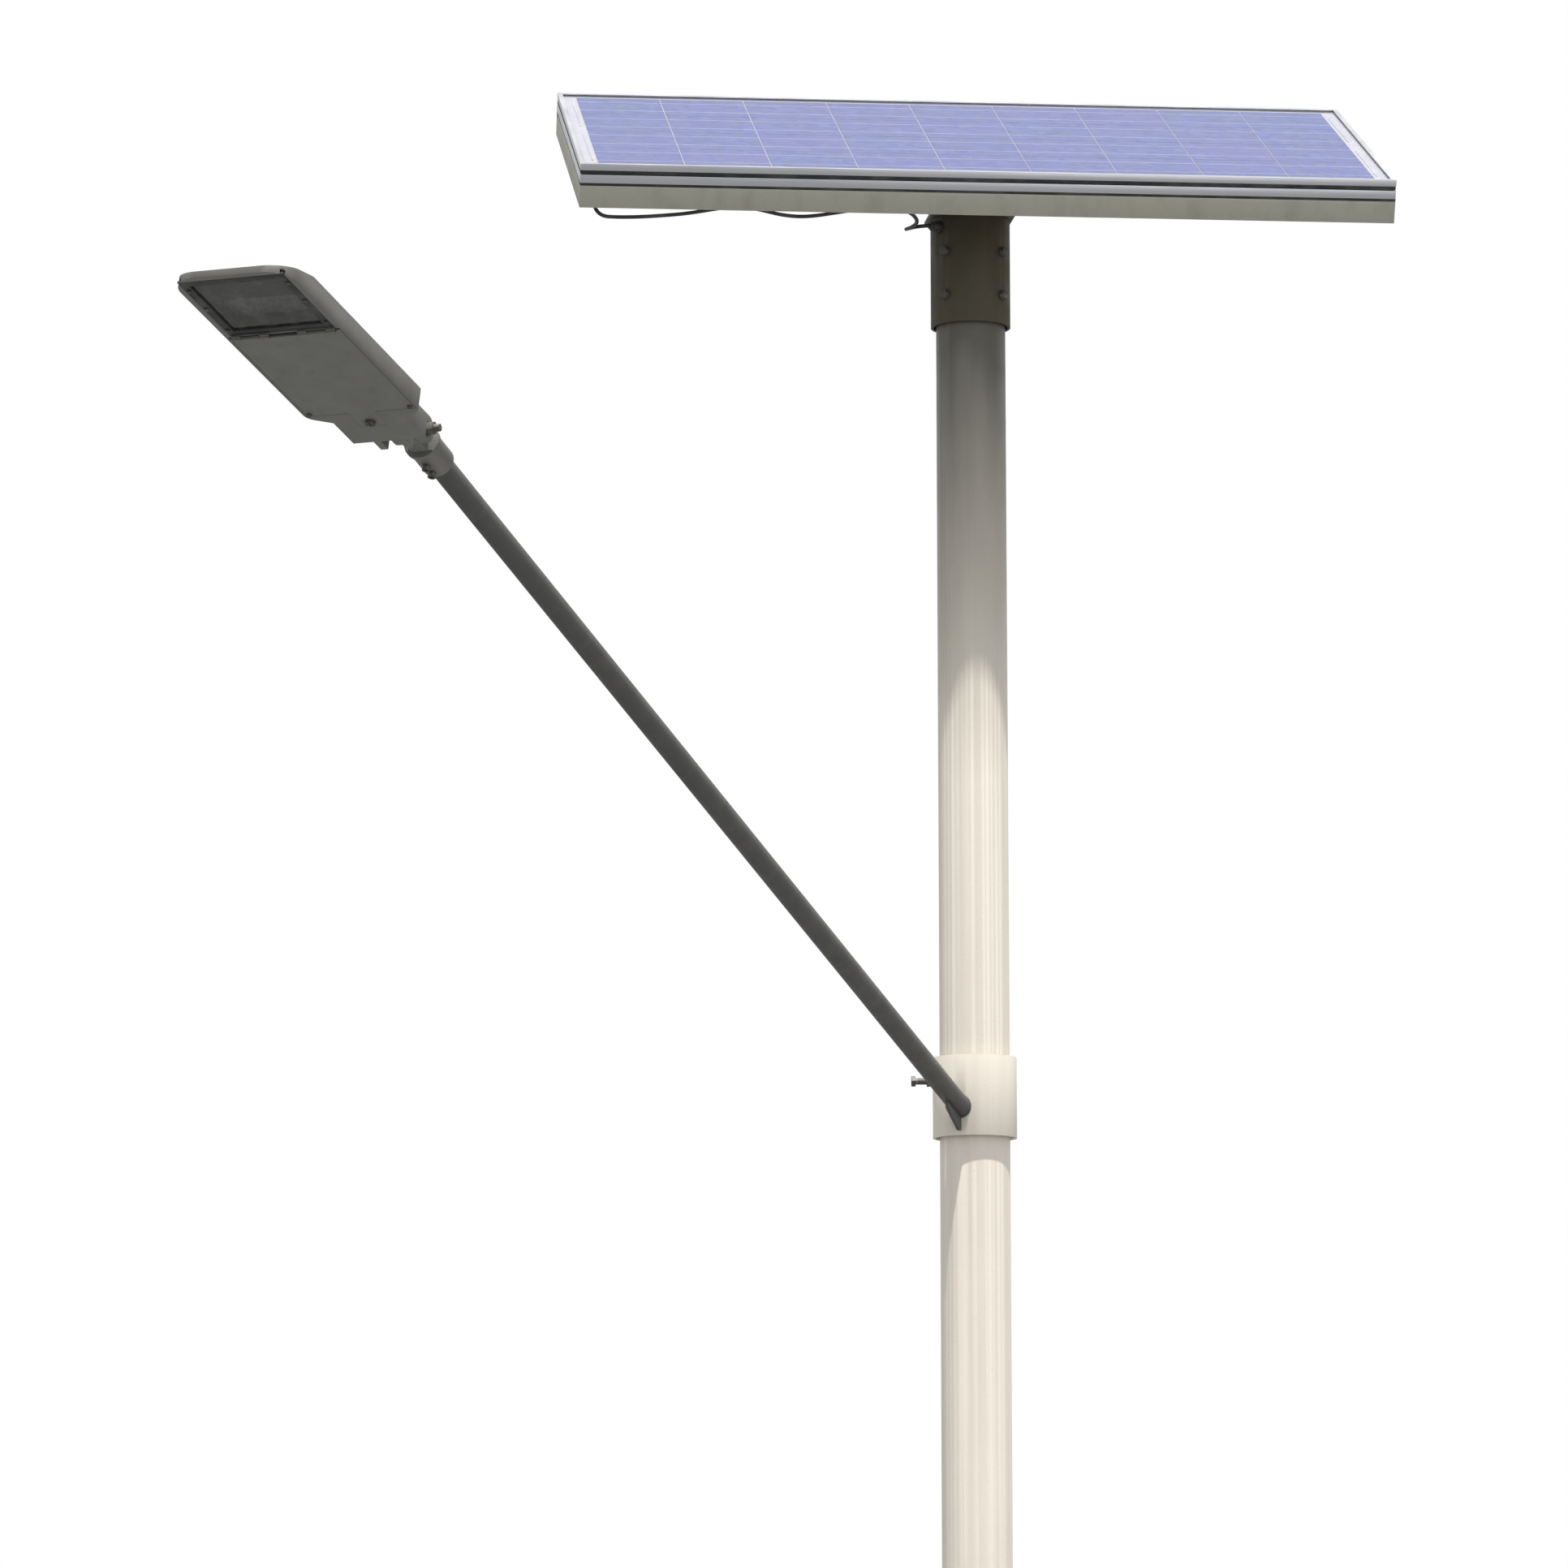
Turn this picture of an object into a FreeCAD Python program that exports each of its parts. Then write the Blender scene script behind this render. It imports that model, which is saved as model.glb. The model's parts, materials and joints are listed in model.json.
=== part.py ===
import FreeCAD, Part
import math
import os
import re
import Sketcher

# Solar street lamp: a tube pole on a base flange, a solar module on a tilting
# and turning head sleeve, and a lamp head on a slanting arm held by a collar.
# Millimetres, +Z up. The origin is the centre of the underside of the base
# flange. The module's long side runs along X and its low edge faces -Y.

doc = FreeCAD.newDocument("SolarStreetLamp")
sheet = doc.addObject("Spreadsheet::Sheet", "Sizes")

drivingSizes = (
    ("poleDiameter", 127, "pole tube, outside"),
    ("poleWall", 4, "pole tube wall"),
    ("poleTop", 4486, "top end of the pole tube"),
    ("flangeSide", 300, "base flange, square side"),
    ("flangeThick", 16, "base flange thickness"),
    ("flangeCorner", 20, "base flange corner radius"),
    ("flangeBore", 90, "cable hole in the base flange"),
    ("anchorSpacing", 230, "anchor holes, centre to centre"),
    ("anchorHole", 22, "anchor hole diameter"),
    ("gussetThick", 10, "base gusset thickness"),
    ("gussetReach", 72, "base gusset, from pole to tip"),
    ("gussetTall", 150, "base gusset height"),
    ("doorWide", 84, "hand hole, chord width"),
    ("doorTall", 280, "hand hole height"),
    ("doorBottom", 560, "hand hole lower edge above the floor"),
    ("doorLap", 12, "door overlap on the pole above and below the hole"),
    ("hingeLap", 5, "door overlap on the pole beside the hinge"),
    ("doorThick", 3, "door skin thickness"),
    ("runGap", 0.3, "gap between parts that move on each other"),
    ("batteryDiameter", 104, "tubular battery pack"),
    ("batteryTall", 420, "battery pack height"),
    ("batteryBottom", 60, "battery pack lower end"),
    ("sleeveDiameter", 146, "head sleeve, outside"),
    ("sleeveWall", 5, "head sleeve wall"),
    ("sleeveBottom", 4298, "head sleeve lower end"),
    ("sleeveTop", 4500, "head sleeve upper end"),
    ("plateThick", 8, "head plate thickness"),
    ("plateLong", 156, "head plate along X"),
    ("plateDeep", 150, "head plate along Y"),
    ("pivotHeight", 4536, "tilt pivot above the floor"),
    ("pivotBolt", 16, "tilt pivot bolt diameter"),
    ("lockBolt", 10, "tilt lock bolt diameter"),
    ("lugInner", 56, "inner face of a tilt lug from the middle"),
    ("lugThick", 8, "tilt lug and ear thickness"),
    ("slotRadius", 44, "tilt slot, radius about the pivot"),
    ("tiltLeast", 10, "flattest module tilt"),
    ("tiltMost", 45, "steepest module tilt"),
    ("panelHeight", 4660, "middle of the module's top plane"),
    ("panelTilt", 24.2, "module tilt at rest"),
    ("panelLong", 1480, "module along X"),
    ("panelDeep", 670, "module along its slope"),
    ("frameTall", 35, "module frame height"),
    ("padThick", 5, "rubber strip between the module frame and the rails"),
    ("grooveDeep", 2.6, "depth of the frame's outside groove"),
    ("grooveStrip", 2.2, "thickness of the rubber strip in the frame's outside groove"),
    ("frameLip", 9, "module frame lip over the glass"),
    ("frameFlange", 28, "module frame bottom flange"),
    ("frameSkin", 1.8, "module frame web thickness"),
    ("glassThick", 3.2, "module glass"),
    ("cellSide", 155, "solar cell side"),
    ("cellGap", 2, "gap between cells"),
    ("railLeg", 40, "angle rail leg"),
    ("railThick", 4, "angle rail thickness"),
    ("collarDiameter", 152, "arm collar, outside"),
    ("collarWall", 5, "arm collar wall"),
    ("collarBottom", 2806, "arm collar lower end"),
    ("collarTall", 146, "arm collar height"),
    ("armDiameter", 38, "arm tube, outside"),
    ("armWall", 3, "arm tube wall"),
    ("armHeight", 2831, "height at which the arm's line meets the pole's axis"),
    ("armSwing", 28, "arm direction, degrees from -Y towards -X"),
    ("armRise", 19.6, "arm slope above level"),
    ("armReach", 2551, "pole axis to head knuckle along the arm"),
    ("headRise", 15, "lamp head slope above level"),
    ("headHalf", 95, "lamp head half width"),
    ("tipSlopeLong", 88, "length over which the lamp head's rim thins to its tip"),
    ("roomEnd", 92, "distance of the optical room's end from the tip"),
    ("headTip", 643, "lamp head front edge from the knuckle"),
    ("headRear", 165, "lamp head shoulder from the knuckle"),
    ("headTail", 70, "lamp head tail from the knuckle"),
    ("tailHalf", 60, "lamp head tail half width"),
    ("headDrop", 51, "lamp head underside below the knuckle"),
    ("headEdge", 32, "lamp head side height"),
    ("headCrown", 30, "raised back of the lamp head above its sides"),
    ("wallThick", 4, "lamp head casting wall"),
    ("dividerAt", 451, "wall between gear room and light, from the knuckle"),
    ("coverThick", 3, "gear cover thickness"),
    ("cableThick", 7, "module cable diameter"),
)
for rowNumber, (alias, value, meaning) in enumerate(drivingSizes, start=1):
    sheet.set("A%d" % rowNumber, meaning)
    sheet.set("B%d" % rowNumber, str(value))
    sheet.setAlias("B%d" % rowNumber, alias)
doc.recompute()

sizeNames = {alias for alias, value, meaning in drivingSizes}
subParts = []

alongX = FreeCAD.Rotation(FreeCAD.Vector(1, 1, 1), 120)
alongY = FreeCAD.Rotation(FreeCAD.Vector(1, 1, 1), 240)
upright = FreeCAD.Rotation()
turns = {"X": alongX, "Y": alongY, "Z": upright}


# helpers

def formula(text):
    """Turn size names in a formula into references to the sheet."""
    def reference(word):
        return "Sizes." + word.group() if word.group() in sizeNames else word.group()
    return re.sub(r"[A-Za-z_]\w*", reference, str(text))


def value(text):
    return float(sheet.evalExpression(formula(text)))


def bind(thing, **formulas):
    for name, text in formulas.items():
        thing.setExpression(name, formula(text))
    return thing


def moved(thing, x, y, z):
    for axis, text in zip("xyz", (x, y, z)):
        thing.setExpression("Placement.Base." + axis, formula(text))
    return thing


def box(name, corner, extent):
    """A block from its lowest corner and its extent, both as formulas."""
    thing = bind(doc.addObject("Part::Box", name),
                 Length=extent[0], Width=extent[1], Height=extent[2])
    return moved(thing, *corner)


def rod(name, radius, length, start, axis="Z", sweep=None, turn=0):
    """A round bar from the middle of its first end, running along an axis."""
    thing = bind(doc.addObject("Part::Cylinder", name), Radius=radius, Height=length)
    if sweep is not None:
        bind(thing, Angle=sweep)
    direction = {"X": FreeCAD.Vector(1, 0, 0), "Y": FreeCAD.Vector(0, 1, 0),
                 "Z": FreeCAD.Vector(0, 0, 1)}[axis]
    thing.Placement = FreeCAD.Placement(FreeCAD.Vector(),
                                        FreeCAD.Rotation(direction, turn) * turns[axis])
    return moved(thing, *start)


def hexagon(name, acrossFlats, length, start, axis="Z"):
    """A hexagon head or nut."""
    thing = bind(doc.addObject("Part::Prism", name),
                 Circumradius="(%s) / 2 / cos(30 deg)" % acrossFlats, Height=length)
    thing.Polygon = 6
    thing.Placement = FreeCAD.Placement(FreeCAD.Vector(), turns[axis])
    return moved(thing, *start)


def fused(name, things):
    thing = doc.addObject("Part::MultiFuse", name)
    thing.Shapes = things
    thing.Refine = True
    return thing


def group(name, things):
    """Separate solids kept together as one sub-part."""
    thing = doc.addObject("Part::Compound", name)
    thing.Links = things
    return thing


def carried(thing, place):
    """A piece made at the middle of things, carried to a place of its own."""
    holder = group(thing.Name + "Held", [thing])
    holder.Placement = place
    return holder


def cutAway(name, base, tools):
    tool = tools[0] if len(tools) == 1 else fused(name + "Tools", tools)
    thing = doc.addObject("Part::Cut", name)
    thing.Base = base
    thing.Tool = tool
    return thing


def shared(name, first, second):
    thing = doc.addObject("Part::Common", name)
    thing.Base = first
    thing.Tool = second
    return thing


def tube(name, outer, inner, length, start, axis="Z"):
    return cutAway(name, rod(name + "Outer", outer, length, start, axis),
                   [rod(name + "Bore", inner, length, start, axis)])


def originPlane(body, role):
    return next(f for f in body.Origin.OriginFeatures if f.Role == role)


def drawOutline(sketch, corners):
    """Add a closed outline whose corners are bound to formulas."""
    spots = [(value(across), value(up)) for across, up in corners]
    first = sketch.GeometryCount
    for number, spot in enumerate(spots):
        following = spots[(number + 1) % len(spots)]
        sketch.addGeometry(Part.LineSegment(FreeCAD.Vector(*spot, 0), FreeCAD.Vector(*following, 0)), False)
    for number in range(len(spots)):
        after = first + (number + 1) % len(spots)
        sketch.addConstraint(Sketcher.Constraint("Coincident", first + number, 2, after, 1))
    for number, (across, up) in enumerate(corners):
        for kind, text, now in (("DistanceX", across, spots[number][0]), ("DistanceY", up, spots[number][1])):
            rule = sketch.addConstraint(Sketcher.Constraint(kind, -1, 1, first + number, 1, now))
            sketch.setExpression("Constraints[%d]" % rule, formula(text))


def newSketch(body, name, role, outlines):
    sketch = body.newObject("Sketcher::SketchObject", name)
    sketch.AttachmentSupport = [(originPlane(body, role), "")]
    sketch.MapMode = "FlatFace"
    for corners in outlines:
        drawOutline(sketch, corners)
    return sketch


def padBody(name, role, outlines, length, offset=None, midplane=False):
    """A PartDesign body with one padded outline; offset is along the plane's normal."""
    body = doc.addObject("PartDesign::Body", name)
    sketch = newSketch(body, name + "Outline", role, outlines)
    if offset is not None:
        sketch.setExpression("AttachmentOffset.Base.z", formula(offset))
    pad = body.newObject("PartDesign::Pad", name + "Pad")
    pad.Profile = sketch
    pad.Midplane = midplane
    bind(pad, Length=length)
    doc.recompute()
    return body


def addPad(body, name, role, outlines, length, offset, isCut=False, reversedWay=False):
    """Add or cut a further padded outline on a body and check that it did something."""
    before = body.Shape.Volume
    sketch = newSketch(body, name + "Outline", role, outlines)
    sketch.setExpression("AttachmentOffset.Base.z", formula(offset))
    feature = body.newObject("PartDesign::Pocket" if isCut else "PartDesign::Pad", name)
    feature.Profile = sketch
    feature.Reversed = reversedWay
    bind(feature, Length=length)
    doc.recompute()
    if abs(body.Shape.Volume - before) < 1:
        raise RuntimeError(name + " changed nothing")
    return feature


def roundEdges(body, name, radius, isWanted):
    """Fillet the edges of the body's last feature that isWanted picks out."""
    last = body.Tip
    chosen = ["Edge%d" % number for number, edge in enumerate(last.Shape.Edges, start=1) if isWanted(edge)]
    fillet = body.newObject("PartDesign::Fillet", name)
    fillet.Base = (last, chosen)
    bind(fillet, Radius=radius)
    doc.recompute()
    return fillet


def isUpright(edge):
    ends = [vertex.Point for vertex in edge.Vertexes]
    return len(ends) == 2 and math.hypot(ends[0].x - ends[1].x, ends[0].y - ends[1].y) < 1e-6


def rectangle(left, low, right, high):
    return [(left, low), (right, low), (right, high), (left, high)]


def finish(thing, label, frame):
    """Name a sub-part, put it in its frame and list it for export."""
    thing.Label = label
    thing.Placement = frame
    subParts.append(thing)
    return thing


def headedBolt(name, diameter, start, grip, headFlats, headTall, nutTall, axis, headFirst=True):
    """A hexagon bolt with its nut: head at the start of the grip and nut at its end."""
    index = "XYZ".index(axis)

    def shifted(amount):
        place = list(start)
        place[index] = "(%s) + (%s)" % (start[index], amount)
        return place

    lowTall, highTall = (headTall, nutTall) if headFirst else (nutTall, headTall)
    pieces = [
        rod(name + "Shank", "(%s) / 2" % diameter, "%s + 3 + %s" % (grip, highTall),
            shifted("0"), axis),
        hexagon(name + "Head", headFlats, lowTall, shifted("-(%s)" % lowTall), axis),
        hexagon(name + "Nut", headFlats, highTall, shifted(grip), axis),
    ]
    return fused(name, pieces)


def cablePath(corners):
    """Straight runs joined by tangent arcs as large as the runs allow; prints the radii."""
    points = [FreeCAD.Vector(*corner) for corner in corners]
    edges = []
    radii = []
    lastEnd = points[0]
    for before, corner, after in zip(points, points[1:], points[2:]):
        inward = (before - corner).normalize()
        outward = (after - corner).normalize()
        halfTurn = (math.pi - inward.getAngle(outward)) / 2
        setBack = 0.45 * min((corner - before).Length, (after - corner).Length)
        radius = setBack / math.tan(halfTurn)
        radii.append(radius)
        arcStart = corner + inward * setBack
        arcEnd = corner + outward * setBack
        middleWay = (inward + outward).normalize()
        arcMiddle = corner + middleWay * (radius / math.cos(halfTurn) - radius)
        edges.append(Part.LineSegment(lastEnd, arcStart).toShape())
        edges.append(Part.Arc(arcStart, arcMiddle, arcEnd).toShape())
        lastEnd = arcEnd
    edges.append(Part.LineSegment(lastEnd, points[-1]).toShape())
    return Part.Wire(edges), radii


def cable(label, corners, diameter, frame):
    """A round cable along a route, in the given frame."""
    path, radii = cablePath(corners)
    direction = FreeCAD.Vector(*corners[1]) - FreeCAD.Vector(*corners[0])
    ring = Part.Wire(Part.makeCircle(diameter / 2, FreeCAD.Vector(*corners[0]), direction))
    solid = path.makePipeShell([ring], True, False)
    expected = math.pi * diameter ** 2 / 4 * path.Length
    print("%s: length %.0f mm, smallest radius %.0f mm, volume ratio %.4f"
          % (label, path.Length, min(radii) if radii else 0, solid.Volume / expected))
    if abs(solid.Volume / expected - 1) > 0.02:
        raise RuntimeError(label + " has the wrong volume")
    thing = doc.addObject("Part::Feature", label + "Run")
    thing.Shape = solid
    return finish(thing, label, frame)


# frames

worldFrame = FreeCAD.Placement()
panelFrame = FreeCAD.Placement(FreeCAD.Vector(0, 0, value("panelHeight")),
                               FreeCAD.Rotation(FreeCAD.Vector(1, 0, 0), value("panelTilt")))
armAngle = -90 - value("armSwing")
armYaw = FreeCAD.Rotation(FreeCAD.Vector(0, 0, 1), armAngle)
armFrame = FreeCAD.Placement(FreeCAD.Vector(0, 0, value("armHeight")),
                             armYaw * FreeCAD.Rotation(FreeCAD.Vector(0, 1, 0), -value("armRise")))
armPlan = FreeCAD.Placement(FreeCAD.Vector(), armYaw)
headFrame = FreeCAD.Placement(armFrame.multVec(FreeCAD.Vector(value("armReach"), 0, 0)),
                              armYaw * FreeCAD.Rotation(FreeCAD.Vector(0, 1, 0), -value("headRise")))


# pole

doorMiddle = "(doorBottom + doorTall / 2)"
handHoleHalf = "(doorWide / 2)"
doorSkinInner = "(poleDiameter / 2 + runGap)"
doorSkinOuter = "(poleDiameter / 2 + runGap + doorThick)"
doorHalf = "(doorWide / 2 + 10)"
hingeAcross = "(0 - doorWide / 2 - 13)"
hingeOut = "(0 - poleDiameter / 2 + 17)"
hingePin = 6
knuckleHalf = 5
wiringHole = 24


earthHeight = "230"
wireHeight = "(armHeight + 28)"


def turnedAbout(thing, degrees, height):
    """Turn a piece made along +X from the pole's axis to another direction."""
    return carried(thing, FreeCAD.Placement(FreeCAD.Vector(0, 0, value(height)),
                                            FreeCAD.Rotation(FreeCAD.Vector(0, 0, 1), degrees)))


def doorScrewHoles(name, radius):
    """The pole's tapped holes for the two door screws, along -Y."""
    return [rod("%s%d" % (name, side), radius, "poleDiameter / 2",
                ("doorWide / 2 + 2", "0 - poleDiameter / 2",
                 "%s + (%d) * %s" % (doorMiddle, side, "(doorTall / 2 + 3 - 33)")), "Y")
            for side in (-1, 1)]


# heights where the pole's lengths of tube meet; the one at the collar is hidden under it
poleJoints = ("flangeThick", "850", "1880", "collarBottom + collarTall / 2", "3660", "poleTop")


def makePoleTube():
    """The pole: five lengths of tube, welded end to end, with the hand hole in the lowest one."""
    corner = 30
    handHole = padBody("handHole", "XZ_Plane", [[
        ("-%s" % handHoleHalf, "doorBottom + %d" % corner),
        ("-%s + %d" % (handHoleHalf, corner), "doorBottom"),
        ("%s - %d" % (handHoleHalf, corner), "doorBottom"),
        (handHoleHalf, "doorBottom + %d" % corner),
        (handHoleHalf, "doorBottom + doorTall - %d" % corner),
        ("%s - %d" % (handHoleHalf, corner), "doorBottom + doorTall"),
        ("-%s + %d" % (handHoleHalf, corner), "doorBottom + doorTall"),
        ("-%s" % handHoleHalf, "doorBottom + doorTall - %d" % corner)]], "poleDiameter")
    centre = ("0", "0", "0")
    armHole = turnedAbout(rod("armWireHole", wiringHole / 2, "poleDiameter", centre, "X"),
                          armAngle, wireHeight)
    gland = turnedAbout(rod("glandHole", wiringHole / 2, "poleDiameter", centre, "X"),
                        glandAngle, glandHeight)
    earth = rod("earthHole", "5.1", "poleDiameter", ("0", "0 - poleDiameter", earthHeight), "Y")
    tools = [handHole, armHole, gland, earth] + doorScrewHoles("doorTap", "3.4")
    openings = fused("poleOpenings", tools)
    lengths = []
    for number, (low, high) in enumerate(zip(poleJoints, poleJoints[1:])):
        name = "poleLength%d" % number
        shell = tube(name + "Shell", "poleDiameter / 2", "poleDiameter / 2 - poleWall",
                     "(%s) - (%s)" % (high, low), ("0", "0", low))
        lengths.append(cutAway(name, shell, [openings]))
    finish(group("poleTube", lengths), "pole_tube", worldFrame)


def makeBaseFlange():
    half = "(flangeSide / 2)"
    body = padBody("baseFlange", "XY_Plane", [rectangle("-" + half, "-" + half, half, half)], "flangeThick")
    roundEdges(body, "flangeCorners", "flangeCorner", isUpright)
    sketch = body.newObject("Sketcher::SketchObject", "flangeHoles")
    sketch.AttachmentSupport = [(originPlane(body, "XY_Plane"), "")]
    sketch.MapMode = "FlatFace"
    spots = [("0", "0", "flangeBore / 2")]
    spots += [("(%d) * anchorSpacing / 2" % across, "(%d) * anchorSpacing / 2" % up, "anchorHole / 2")
              for across in (-1, 1) for up in (-1, 1)]
    for across, up, radius in spots:
        number = sketch.addGeometry(Part.Circle(FreeCAD.Vector(value(across), value(up), 0),
                                                FreeCAD.Vector(0, 0, 1), value(radius)), False)
        for kind, text in (("DistanceX", across), ("DistanceY", up)):
            rule = sketch.addConstraint(Sketcher.Constraint(kind, -1, 1, number, 3, value(text)))
            sketch.setExpression("Constraints[%d]" % rule, formula(text))
        rule = sketch.addConstraint(Sketcher.Constraint("Radius", number, value(radius)))
        sketch.setExpression("Constraints[%d]" % rule, formula(radius))
    before = body.Shape.Volume
    pocket = body.newObject("PartDesign::Pocket", "flangeHolesCut")
    pocket.Profile = sketch
    pocket.Reversed = True
    bind(pocket, Length="flangeThick")
    doc.recompute()
    if body.Shape.Volume > before - 1:
        raise RuntimeError("the flange holes cut nothing")
    finish(body, "base_flange", worldFrame)


def makeBaseGussets():
    plates = []
    for number in range(4):
        plate = padBody("gusset%d" % number, "XZ_Plane", [[
            ("poleDiameter / 2 - 4", "flangeThick"),
            ("poleDiameter / 2 + gussetReach", "flangeThick"),
            ("poleDiameter / 2 + gussetReach", "flangeThick + 15"),
            ("poleDiameter / 2 + 12", "flangeThick + gussetTall"),
            ("poleDiameter / 2 - 4", "flangeThick + gussetTall")]], "gussetThick", midplane=True)
        plate.Placement = FreeCAD.Placement(FreeCAD.Vector(),
                                            FreeCAD.Rotation(FreeCAD.Vector(0, 0, 1), 90 * number))
        pole = rod("gussetPole%d" % number, "poleDiameter / 2", "gussetTall", ("0", "0", "flangeThick"))
        plates.append(cutAway("gussetCut%d" % number, plate, [pole]))
    finish(group("baseGussets", plates), "base_gussets", worldFrame)


def makeEarthBolt():
    """An earthing bolt with two washers on the pole wall."""
    wall = "0 - poleDiameter / 2"
    pieces = [
        rod("earthShank", "5", "22", ("0", wall + " - 16", earthHeight), "Y"),
        rod("earthWasher", "10", "2", ("0", wall + " - 2", earthHeight), "Y"),
        hexagon("earthHead", "17", "6.4", ("0", wall + " - 8.4", earthHeight), "Y"),
        hexagon("earthNut", "17", "5", ("0", wall + " - 14", earthHeight), "Y"),
    ]
    pieces[1] = cutAway("earthWasherFit", pieces[1],
                        [rod("earthWasherPole", "poleDiameter / 2", "60", ("0", "0", "200"))])
    finish(fused("earthBolt", pieces), "earth_bolt", worldFrame)


def makeBattery():
    """A tubular battery pack standing in the foot of the pole, with its end caps."""
    cell = rod("batteryCase", "batteryDiameter / 2", "batteryTall", ("0", "0", "batteryBottom"))
    cap = rod("batteryCap", "batteryDiameter / 2 - 6", "8", ("0", "0", "batteryBottom + batteryTall"))
    plug = rod("batteryPlug", "9", "16", ("18", "0", "batteryBottom + batteryTall + 4"))
    finish(fused("battery", [cell, cap, plug]), "battery_pack", worldFrame)


def makeBatteryShelf():
    """A ring shelf on four legs that keeps the battery above the cable hole."""
    inner = "poleDiameter / 2 - poleWall - 0.5"
    ring = tube("shelfRing", inner, "32", "5", ("0", "0", "batteryBottom - 5"))
    legs = []
    for number in range(4):
        angle = math.radians(45 + 90 * number)
        legs.append(rod("shelfLeg%d" % number, "4", "batteryBottom - 5 - flangeThick",
                        ("%.4f * 51" % math.cos(angle), "%.4f * 51" % math.sin(angle), "flangeThick")))
    finish(fused("batteryShelf", [ring] + legs), "battery_shelf", worldFrame)


def makeGearPlate():
    """A steel plate across the pole behind the hand hole; it carries the controller."""
    plate = box("gearSheet", ("-46", "22", "doorBottom + 4"), ("92", "2.5", "doorTall - 8"))
    tabs = [box("gearTab%d" % side, ("(%d) * 46 - 6" % side, "22", "%s - 15" % doorMiddle),
                ("12", "2.5", "30"))
            for side in (-1, 1)]
    finish(fused("gearPlate", [plate] + tabs), "gear_plate", worldFrame)


def makeController():
    """The charge controller: a ribbed case with a row of screw terminals."""
    case = box("controllerCase", ("-38", "-8", "doorBottom + 110"), ("76", "30", "130"))
    ribs = [box("controllerRib%d" % number, ("-34 + %d * 9" % number, "-12", "doorBottom + 150"),
                ("3", "4", "84"))
            for number in range(8)]
    ways = [box("controllerWay%d" % number, ("-33 + %d * 11" % number, "-14", "doorBottom + 114"),
                ("9", "6", "18"))
            for number in range(6)]
    finish(fused("controller", [case] + ribs + ways), "charge_controller", worldFrame)


def makeTerminals():
    """A rail of terminal blocks under the controller."""
    rail = box("terminalRail", ("-40", "16", "doorBottom + 40"), ("80", "6", "35"))
    blocks = [box("terminal%d" % number, ("-36 + %d * 9" % number, "-10", "doorBottom + 34"),
                  ("8", "26", "46"))
              for number in range(8)]
    strip = box("terminalFoot", ("-36", "8", "doorBottom + 44"), ("71", "8", "26"))
    finish(fused("terminals", [rail, strip] + blocks), "terminal_block", worldFrame)


def makeDoorHinge():
    """Two fixed hinge knuckles with their leaves, welded to the pole beside the door."""
    pieces = []
    for side in (-1, 1):
        low = "%s + (%d) * 70 - 14" % (doorMiddle, side)
        eye = tube("hingeEye%d" % side, str(knuckleHalf), str(hingePin / 2), "28",
                   (hingeAcross, hingeOut, low))
        leaf = box("hingeLeaf%d" % side, (hingeAcross + " - 4", hingeOut, low), ("5", "24", "28"))
        bore = rod("hingeLeafBore%d" % side, str(hingePin / 2), "28", (hingeAcross, hingeOut, low))
        pole = rod("hingeLeafPole%d" % side, "poleDiameter / 2", "28", ("0", "0", low))
        pieces.append(cutAway("hingeKnuckle%d" % side, fused("hingeBlank%d" % side, [eye, leaf]),
                              [bore, pole]))
    finish(group("doorHinge", pieces), "door_hinge", worldFrame)


def makeDoorHingePins():
    pins = [rod("doorPin%d" % side, "%s / 2" % hingePin, "62",
                (hingeAcross, hingeOut, "%s + (%d) * 70 - 31" % (doorMiddle, side)))
            for side in (-1, 1)]
    finish(group("doorPins", pins), "door_hinge_pins", worldFrame)


def makeDoor():
    """The curved door skin with its own hinge knuckles above and below the fixed ones."""
    low = "doorBottom - doorLap"
    skin = tube("doorSkin", doorSkinOuter, doorSkinInner, "doorTall + 2 * doorLap", ("0", "0", low))
    hingeEdge = "(doorWide / 2 + hingeLap)"
    window = box("doorWindow", ("0 - " + hingeEdge, "0 - poleDiameter", low),
                 (hingeEdge + " + " + doorHalf, "poleDiameter", "doorTall + 2 * doorLap"))
    plate = shared("doorPlate", skin, window)
    eyes = []
    for side in (-1, 1):
        for end in (-1, 1):
            start = "%s + (%d) * 70 + (%d) * 22.3 - 8" % (doorMiddle, side, end)
            number = "%d%d" % (side, end)
            eye = tube("doorEye" + number, str(knuckleHalf), "%s / 2 + 0.05" % hingePin, "16",
                       (hingeAcross, hingeOut, start))
            strap = box("doorStrap" + number, (hingeAcross, hingeOut + " - 5", start), ("15", "3", "16"))
            bore = rod("doorStrapBore" + number, "%s / 2 + 0.05" % hingePin, "16",
                       (hingeAcross, hingeOut, start))
            inside = rod("doorStrapInside" + number, doorSkinInner, "16", ("0", "0", start))
            eyes.append(cutAway("doorStrapCut" + number, strap, [bore, inside]))
            eyes.append(eye)
    holes = doorScrewHoles("doorScrewWay", "3.2")
    finish(cutAway("door", fused("doorBlank", [plate] + eyes), holes), "access_door", worldFrame)


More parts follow.
